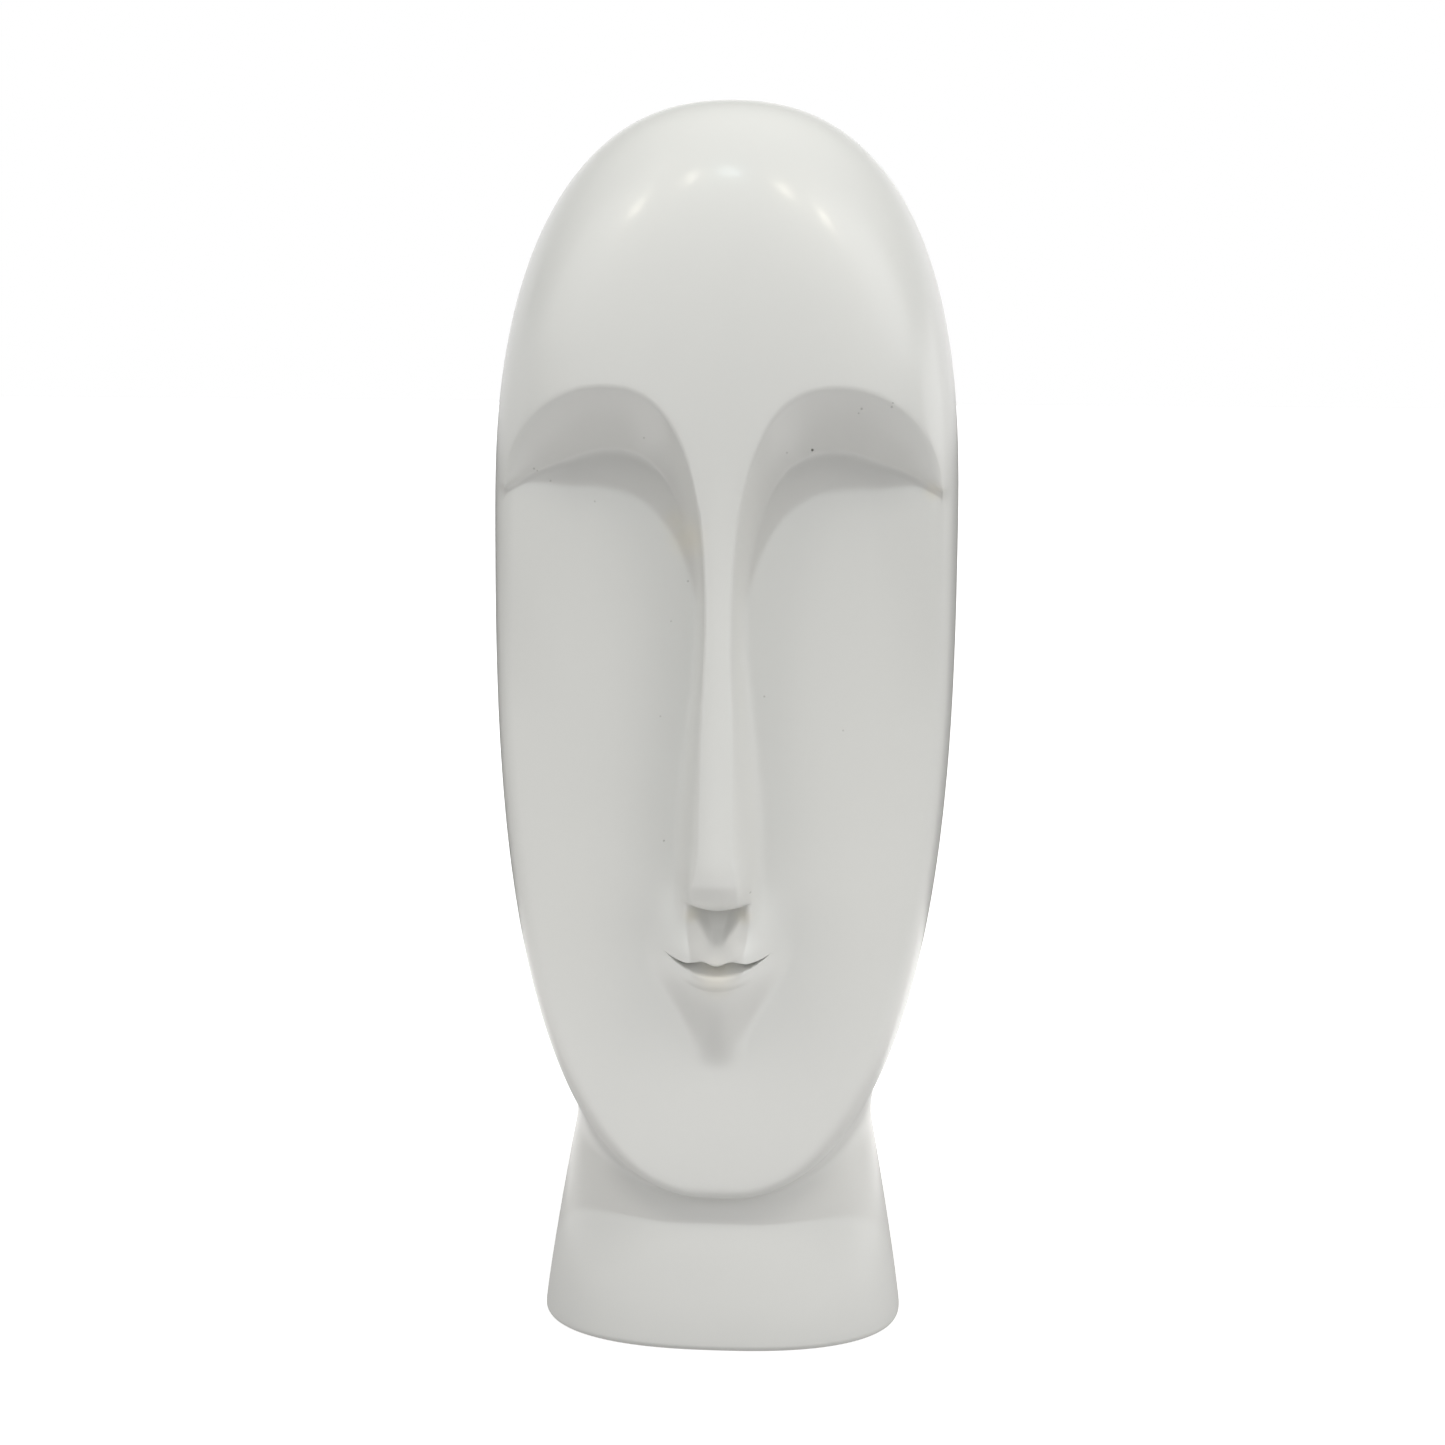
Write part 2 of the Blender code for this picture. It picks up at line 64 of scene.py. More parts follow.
# The egg: levels are shares of the height
WIDEST_LEVEL = 0.648
EGG_BOTTOM_LEVEL = 0.1232
SHOULDER_ROUNDNESS = 2.8
CROWN_ROUNDNESS = 2.33
JAW_ROUNDNESS = 2.6
FOREHEAD_ROUNDNESS = 2.5
CHIN_ROUNDNESS = 11.0
NAPE_ROUNDNESS = 3.2
FACE_SQUARENESS = 4.0
CROWN_SQUARENESS = 2.05
BACK_SQUARENESS = 2.7
SQUARE_UP_TO = 0.717

# The neck and foot
WAIST_LEVEL = 0.178
NECK_FLARE = 1.15
NECK_SQUARENESS = 2.35
FOOT_SQUARENESS = 2.40
NECK_TOP_LEVEL = 0.285
NECK_REACH = 1.6

# The two brow arches: places across the face are shares of the head's half width, and each form
# is a pair of powers, sideways and upward
ARCH_MIDDLE = 0.498
ARCH_CORNER = 0.921
BROW_TOP = 0.7743
CREASE_TOP = 0.7256
CORNER_LEVEL = 0.6950
CORNER_SOFTNESS = 0.004
BROW_INNER_END = 0.584
CREASE_INNER_END = 0.5946
BROW_OUTER_FORM = (2.0, 2.0)
CREASE_OUTER_FORM = (1.35, 1.0)
ARCH_INNER_FORM = (2.6, 2.6)
CEILING_CURVE = 0.25
BROW_EDGE_SHARE = 0.035
CREASE_SHARE = 0.04

# The nose: depths are shares of the head's half depth
RIDGE_HALF_WIDTH = 0.0541
RIDGE_SPREAD = 0.0127
TIP_SPREAD = 0.0470
BASE_HALF_WIDTH = 0.1335
BASE_SPREAD = 0.0900
NOSE_HALF_WIDTH = 0.1295
BRIDGE_LEVEL = 0.680
RIDGE_END_LEVEL = 0.4104
NOSE_BOTTOM = 0.3658
NOSE_BOTTOM_RISE = 0.0057
TIP_HEIGHT = 0.0445
TIP_ROUNDNESS = 2.4
BRIDGE_DEPTH = 0.990
TIP_DEPTH = 1.207
RIDGE_CROWN = 0.0750
RIDGE_REACH = (-1, 1.2)
TIP_WIDENS_FROM = RIDGE_END_LEVEL + TIP_HEIGHT / 3
NOSE_SIDE_HOLLOW = 2.2
NOSE_EDGE_ROUNDING = 1.2
FLANK_PLACE = (0.092, 0.150)
FLANK_FADE = (0.345, 0.420)

# The face plane
PLANE_TOP = 0.717
PLANE_BOTTOM = 0.148
PLANE_TOP_DEPTH = 0.7075
PLANE_BOTTOM_DEPTH = 0.789
PLANE_REACH = (-0.3, 1.1)
PLANE_FALL = 0.066
PLANE_FALL_POWER = 3

# The mouth and the mound that it lies on
MOUTH_HALF_WIDTH = 0.223
UPPER_LIP_EDGE = 0.3231
LOWER_LIP_EDGE = 0.3145
MOUTH_CORNER = 0.3300
LIP_WAVE = 0.0028
LIP_WAVE_PLACE = 0.30
LIP_WAVE_REACH = 0.28
UPPER_LIP_POWER = 4.5
LOWER_LIP_POWER = 2.2
UPPER_LIP_HEIGHT = 0.0185
LOWER_LIP_HEIGHT = 0.0056
UPPER_LIP_HALF_WIDTH = 1.1 * MOUTH_HALF_WIDTH
LOWER_LIP_HALF_WIDTH = 0.167
LOWER_LIP_FORM = (2.0, 1.3)
UPPER_LIP_RELIEF = 0.030
LOWER_LIP_RELIEF = 0.022
MOUTH_CUT = 0.115
MOUTH_CUT_FORM = (0.6, 4.0)
MOUTH_CUT_HALF_WIDTH = 1.06 * MOUTH_HALF_WIDTH
LIP_EDGE_SOFTNESS = 0.0009
LEAST_GAP = 0.0008
PHILTRUM_DEPTH = 0.066
PHILTRUM_TOP = 0.125
PHILTRUM_FOOT = 0.040
PHILTRUM_WALL = 0.35
PHILTRUM_FADE = (0.6, 1.2)
MOUND_LEVEL = 0.316
MOUND_RISE = 0.072
MOUND_FALL = 0.086
MOUND_HALF_WIDTH = 0.34
MOUND_DEPTH = 0.180
MOUND_NARROWING = 0.60
MOUND_NARROWS = (-0.25, 0.75)

# The cheek's swelling under the brow's outer corner
CHEEK_SWELL = 0.060
CHEEK_SWELL_REACH = 0.30
CHEEK_SWELL_RISE = 0.030
CHEEK_SWELL_FALL = 0.180

# How finely the surface is divided between one line of the face and the next. Bearings are in
# degrees from the face's middle.
FOOT_EDGE_RINGS = 9
NECK_RINGS = 22
UNDER_CHIN_RINGS = 9
CHIN_RINGS = 16
JAW_RINGS = 32
LOWER_LIP_RINGS = 16
MOUTH_RINGS = 12
UPPER_LIP_RINGS = 13
PHILTRUM_RINGS = 10
TIP_RINGS = 18
CHEEK_RINGS = 50
CEILING_RINGS = 26
FOREHEAD_RINGS = 16
CROWN_RINGS = 38
BEARING_STOPS = (0, 4.5, 17, 50, 62, 74, 90, 108, 145, 180)
BEARING_STEPS = (10, 34, 44, 26, 9, 9, 8, 15, 14)
CHIN_BAND = (0.5, 5)
LOWER_LIP_BAND = 2.4
MOUTH_RING_GAP = 0.0015
SIDE_RING_GAP = 0.010
SIDE_GAP_PLACE = (MOUTH_HALF_WIDTH, 3 * MOUTH_HALF_WIDTH)
CREASE_RING_LOWEST = 0.682
BROW_RING_LOWEST = 0.712
CROWN_START = 0.82
STRAIGHT_FROM = 0.38
STRAIGHT_TO = 0.52
FOLLOW_PASSES = 14
HALVINGS = 34
TINY = 1e-6

# The finish: noises as cycles for each metre, detail and roughness, and what each of them adds
CLOUDS = (14.0, 3.0, 0.55)
CLOUD_SHARE = 0.65
STREAKS = (70.0, 2.0, 0.5)
STREAK_STRETCH = (1.0, 1.0, 0.18)
SKIN = (520.0, 2.0, 0.6)
SKIN_HEIGHT = 0.25
RUBBED = (34.0, 2.0, 0.5)
RUBBED_HEIGHT = 1.6
RELIEF = 0.00004
GLOSS_BELOW = 0.05
GLOSS_CLOUDING = 0.06
GLOSS_GRAIN = 0.04
COAT_ROUGHNESS = 0.15

# Pinholes all over: how densely they could lie, how few of those do, and their size and strength.
# An edge comes with its softness.
SPECK_SCALE = 62.0
SPECK_RARITY = (0.88, 0.01)
SPECK_SIZE = (0.012, 0.005)
SPECK_STRENGTH = 0.5
PINHOLE_DEPTH = 9.0
PINHOLE_DARKNESS = 0.85

# Marks that the front shows: place across, level up and radius, in millimetres, and strength. An
# edge and its softness are shares of the radius.
MILLIMETRE = 0.001
PINHOLE_EDGE = (1.0, 0.5)
WARM_LIGHT_EDGE = (0.667, 0.667)
PINHOLES = (
    (28.2, 294.0, 0.36, 1.00),
    (43.4, 307.0, 0.34, 0.35),
    (42.5, 305.6, 0.26, 0.30),
    (52.6, 307.6, 0.34, 0.35),
    (52.9, 308.8, 0.26, 0.30),
    (20.4, 293.2, 0.30, 0.25),
    (-59.5, 287.3, 0.34, 0.35),
    (-58.6, 286.6, 0.24, 0.30),
    (-54.4, 283.5, 0.30, 0.25),
    (-24.2, 297.4, 0.28, 0.25),
    (-10.6, 252.4, 0.32, 0.30),
    (-15.9, 239.6, 0.28, 0.25),
    (-40.4, 277.1, 0.28, 0.25),
    (13.9, 216.1, 0.32, 0.30),
    (39.0, 205.6, 0.30, 0.25),
    (-19.1, 209.3, 0.28, 0.25),
    (-17.7, 169.2, 0.32, 0.40),
    (10.5, 154.4, 0.28, 0.35),
)
# Painted warm light: the warm lamps' yellowish tint where they light the lower lip, the philtrum's sides
# and a brow corner, and in the penumbra beside the nose.
WARM_LIGHT_MARKS = (
    (-10.5, 266.0, 7.0, 0.50),
    (-14.5, 271.0, 5.0, 0.35),
    (66.0, 281.5, 3.5, 0.45),
    (-8.6, 146.0, 3.0, 0.45),
    (8.4, 146.0, 3.0, 0.45),
    (0.0, 126.5, 7.0, 0.40),
)

# The camera: it stands a little to the face's left, level with its upper half, and looks down
CAMERA_DISTANCE = 0.81
CAMERA_HEIGHT = 0.316
CAMERA_TURN = math.radians(3.6)
CAMERA_PITCH = math.radians(8.0)
CAMERA_ROLL = math.radians(-0.45)
CAMERA_SHIFT_ACROSS = -0.0017
IMAGE_SIDE = 1445
FOCAL_PIXELS = 2450
SENSOR_WIDTH = 36.0
NEAREST_SEEN = 0.01
FARTHEST_SEEN = 60.0

# The floor: the light that it throws up is strongest in a ring about the sculpture. To the viewer
# it goes over into white farther off.
FLOOR_REACH = 30.0
FLOOR_STEPS = 12
FLOOR_RINGS = (0.22, 0.50)
FLOOR_EDGE = 0.04
FLOOR_TINT = (1.0, 0.99, 0.97)
GLOW_MIDDLE = 0.70
GLOW_REACH = 0.50
PAPER_UNEVENNESS = 0.99
PAPER_CLOUDS = (2.0, 2.0, 0.5)
PAPER_FIBRE = (900.0, 2.0, 0.6)
PAPER_RELIEF = 0.00005
PAPER_RELIEF_SHARE = 0.3
PAPER_ROUGHNESS = 0.9

# The surround's bands. How high each reaches is the sine of an angle up, and how far round it
# reaches is a cosine, from -1 behind the viewer to 1 behind the sculpture.
WINDOWS_UP_TO = 0.77
SIDES_UP_TO = 0.34
BACK_UP_TO = 0.45
PANEL_ROUND_TO = -0.77
WINDOWS_ROUND_TO = -0.20
SIDES_ROUND_TO = 0.50
BAND_EDGE = 0.05
BACK_EDGE = 0.20
LIGHT_LEAN = 0.42
WHITE = (1.0, 1.0, 1.0, 1.0)

# Lamps above. The soft ones light the face: degrees round from the viewer's side, degrees up, size
# across, share of power, colour. The row of bulbs only shows as glints on the forehead: places
# across, along and up, share of power, colour.
WARM = (1.0, 0.97, 0.91)
COOL = (0.92, 0.98, 1.0)
WARM_BULB = (1.0, 0.95, 0.78)
COOL_BULB = (0.78, 0.98, 1.0)
LAMP_REACH = 1.45
LAMP_TARGET = (0.0, -0.05, 0.27)
SOFT_LAMPS = (
    (-55, 58, 0.40, 5.72, WARM),
    (0, 68, 0.05, 6.07, COOL),
    (55, 58, 0.40, 5.72, WARM),
)
BULBS = (
    (-0.74, -0.81, 1.53, 1.5, WARM_BULB),
    (-0.30, -0.81, 1.55, 1.1, WARM_BULB),
    (-0.06, -0.81, 1.56, 1.0, COOL_BULB),
    (0.31, -0.81, 1.50, 1.3, WARM_BULB),
    (0.62, -0.81, 1.46, 1.5, WARM_BULB),
)


def smooth_step(start, end, value):
    """0 at start, 1 at end, level at both: 3 t squared less 2 t cubed."""
    share = np.clip((value - start) / (end - start), 0, 1)
    return share * share * (3 - 2 * share)


def bump(share):
    """1 at 0, falling to 0 at -1 and 1: (1 less t squared), squared."""
    share = np.clip(share, -1, 1)
    return (1 - share * share) ** 2


def smooth_larger(first, second, blend):
    """The larger of two values, with a parabola over the seam where they are within blend."""
    share = np.clip(0.5 + 0.5 * (first - second) / blend, 0, 1)
    return second + (first - second) * share + blend * share * (1 - share)


def smooth_smaller(first, second, blend):
    """The smaller of two values, rounded in the same way."""
    return -smooth_larger(-first, -second, blend)


def rounded(share, roundness, end_roundness=None):
    """A superellipse's height: (1 less t to the roundness), to one over the end roundness."""
    left = 1 - np.clip(np.abs(share), 0, 1) ** roundness
    return left ** (1 / (end_roundness or roundness))


def section_radius(bearing, half_width, half_depth, squareness):
    """A superellipse's radius at a bearing: the squareness norm of its two half sizes, inverted."""
    across = np.abs(np.sin(bearing)) / np.maximum(half_width, TINY)
    along = np.abs(np.cos(bearing)) / np.maximum(half_depth, TINY)
    return (across**squareness + along**squareness) ** (-1 / squareness)


def up_and_down(level):
    """Shares of the way from the widest level up to the crown, and down to the egg's bottom."""
    up = np.clip((level - WIDEST_LEVEL) / (1 - WIDEST_LEVEL), 0, 1)
    down = np.clip((WIDEST_LEVEL - level) / (WIDEST_LEVEL - EGG_BOTTOM_LEVEL), 0, 1)
    return up, down


def even(count):
    """Even shares from 0 up to 1, without the 1."""
    return np.arange(count) / count


class FaceForm:
    """The sculpture's surface as a function of a bearing about the upright axis, 0 at the face's
    middle, and a level up it."""

    def __init__(self, sizes):
        self.height = sizes.height
        self.half_width = sizes.head_width / 2
        self.half_depth = sizes.head_half_depth
        self.foot = (sizes.foot_width / 2, sizes.foot_depth / 2)
        self.waist = (sizes.waist_width / 2, sizes.waist_depth / 2)
        self.foot_edge = sizes.foot_edge
        self.under_chin = sizes.under_chin
        self.beside_chin = sizes.beside_chin
        self.face_rim = sizes.face_rim
        self.ridge_blend = sizes.ridge_blend

    def head_half_width(self, level):
        """Half width: a superellipse up from the widest level times another down from it."""
        up, down = up_and_down(level)
        above = rounded(up, SHOULDER_ROUNDNESS, CROWN_ROUNDNESS)
        return self.half_width * above * rounded(down, JAW_ROUNDNESS)

    def head_half_depth(self, level, roundness):
        """Half depth, in the same way; the chin's roundness differs from the nape's."""
        up, down = up_and_down(level)
        return self.half_depth * rounded(up, FOREHEAD_ROUNDNESS) * rounded(down, roundness)

    def squareness(self, level):
        """How square the sections are: the same up to the brows, and rounder towards the crown."""
        towards_crown = smooth_step(SQUARE_UP_TO, 1, level)
        return FACE_SQUARENESS + (CROWN_SQUARENESS - FACE_SQUARENESS) * towards_crown

    def egg_radius(self, bearing, level):
        """Superellipse sections, squarer at the front than at the back."""
        in_front = np.cos(bearing) > 0
        at_front = self.head_half_depth(level, CHIN_ROUNDNESS)
        at_back = self.head_half_depth(level, NAPE_ROUNDNESS)
        squareness = self.squareness(level)
        squareness = np.where(in_front, squareness, np.minimum(squareness, BACK_SQUARENESS))
        half_depth = np.where(in_front, at_front, at_back)
        return section_radius(bearing, self.head_half_width(level), half_depth, squareness)

    def neck_radius(self, bearing, level):
        """Superellipse sections from the foot's sizes to the waist's, going as the level to the
        power of the flare; the lower edge is a quarter round."""
        share = np.clip(level / WAIST_LEVEL, 0, NECK_REACH) ** NECK_FLARE
        half_width = self.foot[0] + (self.waist[0] - self.foot[0]) * share
        half_depth = self.foot[1] + (self.waist[1] - self.foot[1]) * share
        squareness = FOOT_SQUARENESS + (NECK_SQUARENESS - FOOT_SQUARENESS) * np.clip(share, 0, 1)
        below = np.clip(1 - level * self.height / self.foot_edge, 0, 1)
        inset = self.foot_edge * (1 - np.sqrt(1 - below * below))
        return section_radius(bearing, half_width, half_depth, squareness) - inset

    def egg_front(self, across, level):
        """How far forward the uncut egg lies."""
        share = across * self.half_width / np.maximum(self.head_half_width(level), TINY)
        return self.head_half_depth(level, CHIN_ROUNDNESS) * rounded(share, self.squareness(level))

    def front(self, across, level):
        """How far forward the finished face lies: the face plane, plus the ceiling's share of the
        way from it to the crest of the brow and nose. The nose's tip ends in a quarter round, and
        its flanks fade out over a longer way down."""
        across = np.abs(across) / self.half_width
        egg = self.egg_front(across, level)
        plane = smooth_smaller(self.half_depth * face_plane(across, level), egg, self.face_rim)
        down = np.clip((BRIDGE_LEVEL - level) / (BRIDGE_LEVEL - RIDGE_END_LEVEL), *RIDGE_REACH)
        ridge = BRIDGE_DEPTH + (TIP_DEPTH - BRIDGE_DEPTH) * down
        ridge = (ridge - RIDGE_CROWN * (across / BASE_HALF_WIDTH) ** 2) * self.half_depth
        crest = np.where(level < BROW_TOP, smooth_larger(egg, ridge, self.ridge_blend), egg)
        up_from_bottom = (level - nose_bottom(across)) / TIP_HEIGHT
        tip = rounded(1 - np.clip(up_from_bottom, 0, 1), TIP_ROUNDNESS)
        tip = np.where(up_from_bottom > 0, tip, 0)
        tip = tip + (smooth_step(*FLANK_FADE, level) - tip) * smooth_step(*FLANK_PLACE, across)
        return plane + (crest - plane) * ceiling_share(across, level) * tip

    def ray_radius(self, bearing, level):
        """Where a ray from the axis comes out of the head and neck, by halving the distance."""
        sine = np.sin(bearing)
        cosine = np.cos(bearing)
        inner = np.zeros_like(sine * level)
        outer = np.full_like(inner, 2 * self.half_depth)
        for _ in range(HALVINGS):
            middle = (inner + outer) / 2
            outside = middle * cosine > self.front(middle * sine, level)
            outer = np.where(outside, middle, outer)
            inner = np.where(outside, inner, middle)
        head = np.where(cosine > TINY, (inner + outer) / 2, self.egg_radius(bearing, level))
        head = np.where(level > EGG_BOTTOM_LEVEL, head, 0)
        blend = self.under_chin + (self.beside_chin - self.under_chin) * sine * sine
        joined = smooth_larger(head, self.neck_radius(bearing, level), blend)
        return np.where(level < NECK_TOP_LEVEL, joined, head)

    def surface(self, bearing, level):
        """Across and along places. Low down a point lies on its ray; higher up it lies straight
        behind the ray's point on the uncut egg, so that the brows can be undercut."""
        radius = self.ray_radius(bearing, level)
        straight = smooth_step(STRAIGHT_FROM, STRAIGHT_TO, level)
        across = (radius + (self.egg_radius(bearing, level) - radius) * straight) * np.sin(bearing)
        carved = (np.cos(bearing) > TINY) & (level > NECK_TOP_LEVEL)
        along = np.where(carved, self.front(across, level), radius * np.cos(bearing))
        return across, -along

    def side_place(self, bearing, level):
        """How far across the face the surface lies, as a share of the half width."""
        across, _ = self.surface(bearing, level)
        return np.where(np.cos(bearing) > TINY, np.abs(across) / self.half_width, 1.0)

    def follow(self, line, bearing, start):
        """The levels at which the surface crosses a line given by its level over each place."""
        level = np.full_like(bearing, start)
        for _ in range(FOLLOW_PASSES):
            level = (level + line(self.side_place(bearing, level))) / 2
        return level

    def jaw_line(self, bearing):
        """The level at which the egg comes out of the neck, by halving."""
        low = np.full_like(bearing, EGG_BOTTOM_LEVEL)
        high = np.full_like(bearing, NECK_TOP_LEVEL)
        for _ in range(HALVINGS):
            middle = (low + high) / 2
            clear = self.egg_radius(bearing, middle) > self.neck_radius(bearing, middle)
            high = np.where(clear, middle, high)
            low = np.where(clear, low, middle)
        return (low + high) / 2

    def ring_levels(self, bearing):
        """Every ring's level at every bearing, as shares of the height."""
        flat = np.zeros_like(bearing)
        jaw = self.jaw_line(bearing)
        chin_round = self.under_chin / self.height
        upper_edge = self.follow(upper_lip_edge, bearing, UPPER_LIP_EDGE)
        lower_edge = self.follow(lower_lip_edge, bearing, LOWER_LIP_EDGE)
        away = smooth_step(*SIDE_GAP_PLACE, self.side_place(bearing, lower_edge))
        apart = MOUTH_RING_GAP + SIDE_RING_GAP * away
        upper_edge = upper_edge + apart
        lower_edge = lower_edge - apart
        nose = self.follow(nose_bottom, bearing, NOSE_BOTTOM)
        crease = self.follow(crease_line, bearing, CREASE_TOP)
        brow = self.follow(brow_line, bearing, BROW_TOP)
        edge_turn = 1 - np.cos(math.pi / 2 * even(FOOT_EDGE_RINGS))
        tip_turn = 1 - np.cos(math.pi / 2 * even(TIP_RINGS))
        bands = (
            (flat, edge_turn),
            (flat + self.foot_edge / self.height, even(NECK_RINGS)),
            (jaw - chin_round, even(UNDER_CHIN_RINGS)),
            (jaw + CHIN_BAND[0] * chin_round, even(CHIN_RINGS)),
            (jaw + CHIN_BAND[1] * chin_round, even(JAW_RINGS)),
            (lower_edge - LOWER_LIP_BAND * LOWER_LIP_HEIGHT, even(LOWER_LIP_RINGS)),
            (lower_edge, even(MOUTH_RINGS)),
            (upper_edge, even(UPPER_LIP_RINGS)),
            (upper_edge + UPPER_LIP_HEIGHT, even(PHILTRUM_RINGS)),
            (nose, tip_turn),
            (nose + TIP_HEIGHT, even(CHEEK_RINGS)),
            (crease, even(CEILING_RINGS)),
            (brow, even(FOREHEAD_RINGS)),
            (flat + CROWN_START, ()),
        )
        rows = []
        for (start, shares), (end, _) in zip(bands, bands[1:]):
            rows.extend(start + (end - start) * share for share in shares)
        start_share = (CROWN_START - WIDEST_LEVEL) / (1 - WIDEST_LEVEL)
        first_turn = math.asin(start_share ** (SHOULDER_ROUNDNESS / 2))
        turn = first_turn + (math.pi / 2 - first_turn) * even(CROWN_RINGS)
        crown = WIDEST_LEVEL + (1 - WIDEST_LEVEL) * np.sin(turn) ** (2 / SHOULDER_ROUNDNESS)
        rows.extend(flat + level for level in crown)
        return np.array(rows)

    def points(self):
        """The points of every ring, from the foot's edge to the crown."""
        bearing = bearings()
        level = self.ring_levels(bearing)
        bearing = np.broadcast_to(bearing, level.shape)
        across, along = self.surface(bearing, level)
        return np.stack([across, along, level * self.height], axis=-1)


def ridge_half_width(level):
    """The nose's crest: a little wider half way down, and wider again at the tip."""
    along = smooth_step(BROW_INNER_END, (BROW_INNER_END + RIDGE_END_LEVEL) / 2, level)
    at_tip = smooth_step(TIP_WIDENS_FROM, NOSE_BOTTOM, level)
    return RIDGE_HALF_WIDTH + RIDGE_SPREAD * along + TIP_SPREAD * at_tip


def base_half_width(level):
    """The nose where it meets the cheeks: wider on the way down."""
    return BASE_HALF_WIDTH + BASE_SPREAD * smooth_step(CREASE_INNER_END, RIDGE_END_LEVEL, level)


def arch_form(across, inner_end, inner_half_width, outer_form):
    """An arch's half span, the level of its foot, and its two powers, each side with its own."""
    outer = across > ARCH_MIDDLE
    half_span = np.where(outer, ARCH_CORNER - ARCH_MIDDLE, ARCH_MIDDLE - inner_half_width)
    foot = np.where(outer, CORNER_LEVEL, inner_end)
    side_power = np.where(outer, outer_form[0], ARCH_INNER_FORM[0])
    rise_power = np.where(outer, outer_form[1], ARCH_INNER_FORM[1])
    return half_span, foot, side_power, rise_power


def arch_reach(across, level, top, *form):
    """1 on an arch from the nose up over the eye and down to the corner, less inside it, and its
    height above its foot: sideways and upward shares summed as powers."""
    half_span, foot, side_power, rise_power = arch_form(across, *form)
    sideways = np.abs(across - ARCH_MIDDLE) / half_span
    upward = np.maximum(level - foot, 0) / (top - foot)
    return (sideways**side_power + upward**rise_power) ** (1 / rise_power), top - foot


def ceiling_share(across, level):
    """0 on the face plane, 1 on the uncut egg, and in between on the slope that joins the crease
    to the brow's edge and runs on down as the side of the nose."""
    ridge = ridge_half_width(level)
    base = base_half_width(level)
    brow, brow_tall = arch_reach(across, level, BROW_TOP, BROW_INNER_END, ridge, BROW_OUTER_FORM)
    crease, crease_tall = arch_reach(across, level, CREASE_TOP, CREASE_INNER_END, base, CREASE_OUTER_FORM)
    below_brow = (1 - brow) * brow_tall
    above_crease = (crease - 1) * crease_tall
    share = above_crease / np.maximum(above_crease + below_brow, TINY)
    share = np.where(above_crease <= -below_brow, 1.0, share)
    share = np.clip(share, -1, 2)
    share = smooth_larger(smooth_smaller(share, 1, BROW_EDGE_SHARE), 0, CREASE_SHARE)
    share = np.clip(share, 0, 1)
    beside_nose = smooth_step(CREASE_TOP, CREASE_INNER_END, level) * (across < ARCH_MIDDLE)
    down_nose = smooth_step(CREASE_INNER_END, RIDGE_END_LEVEL, level) * (across < ARCH_MIDDLE)
    share = share ** (1 + NOSE_SIDE_HOLLOW * beside_nose)
    share = 1 - (1 - share) ** (1 + NOSE_EDGE_ROUNDING * down_nose)
    over_corner = smooth_step(CORNER_LEVEL - CORNER_SOFTNESS, CORNER_LEVEL + CORNER_SOFTNESS, level)
    share = np.where(across > ARCH_MIDDLE, share * over_corner, share)
    return share + CEILING_CURVE * share * (1 - share)


def upper_lip_edge(across):
    """The lip line: a power of the way to the corner, with a wave on each side of the middle."""
    share = np.clip(across / MOUTH_HALF_WIDTH, 0, 1)
    wave = LIP_WAVE * bump((share - LIP_WAVE_PLACE) / LIP_WAVE_REACH)
    return UPPER_LIP_EDGE + (MOUTH_CORNER - UPPER_LIP_EDGE) * share**UPPER_LIP_POWER + wave


def lower_lip_edge(across):
    """The gap's lower line: a lower power of the way to the corner."""
    share = np.clip(across / MOUTH_HALF_WIDTH, 0, 1)
    return LOWER_LIP_EDGE + (MOUTH_CORNER - LOWER_LIP_EDGE) * share**LOWER_LIP_POWER


def lips(across, level):
    """The lips' own relief on the mound: two rolls, and the mouth cut between them, which is deepest
    under the upper lip."""
    upper_edge = upper_lip_edge(across)
    lower_edge = lower_lip_edge(across)
    over = smooth_step(upper_edge - LIP_EDGE_SOFTNESS, upper_edge + LIP_EDGE_SOFTNESS, level)
    up_the_gap = np.clip((level - lower_edge) / np.maximum(upper_edge - lower_edge, LEAST_GAP), 0, 1)
    upper = over * bump((level - upper_edge) / UPPER_LIP_HEIGHT) * bump(across / UPPER_LIP_HALF_WIDTH)
    lower_roll = rounded((level - lower_edge + LOWER_LIP_HEIGHT) / LOWER_LIP_HEIGHT, *LOWER_LIP_FORM)
    lower = lower_roll * bump(across / LOWER_LIP_HALF_WIDTH)
    to_corner = np.clip(across / MOUTH_CUT_HALF_WIDTH, 0, 1)
    cut = up_the_gap ** MOUTH_CUT_FORM[0] * (1 - over) * (1 - to_corner ** MOUTH_CUT_FORM[1])
    return UPPER_LIP_RELIEF * upper + LOWER_LIP_RELIEF * lower - MOUTH_CUT * cut


def philtrum(across, level):
    """The groove from the nose to the upper lip: flat inside its walls, and narrowing on the way
    down."""
    lip_top = UPPER_LIP_EDGE + UPPER_LIP_HEIGHT
    down = (NOSE_BOTTOM - level) / (NOSE_BOTTOM - lip_top)
    half_width = PHILTRUM_TOP + (PHILTRUM_FOOT - PHILTRUM_TOP) * np.clip(down, 0, 1)
    fade = smooth_step(-1, 0, down) * (1 - smooth_step(*PHILTRUM_FADE, down))
    return PHILTRUM_DEPTH * (1 - smooth_step(PHILTRUM_WALL, 1, across / half_width)) * fade


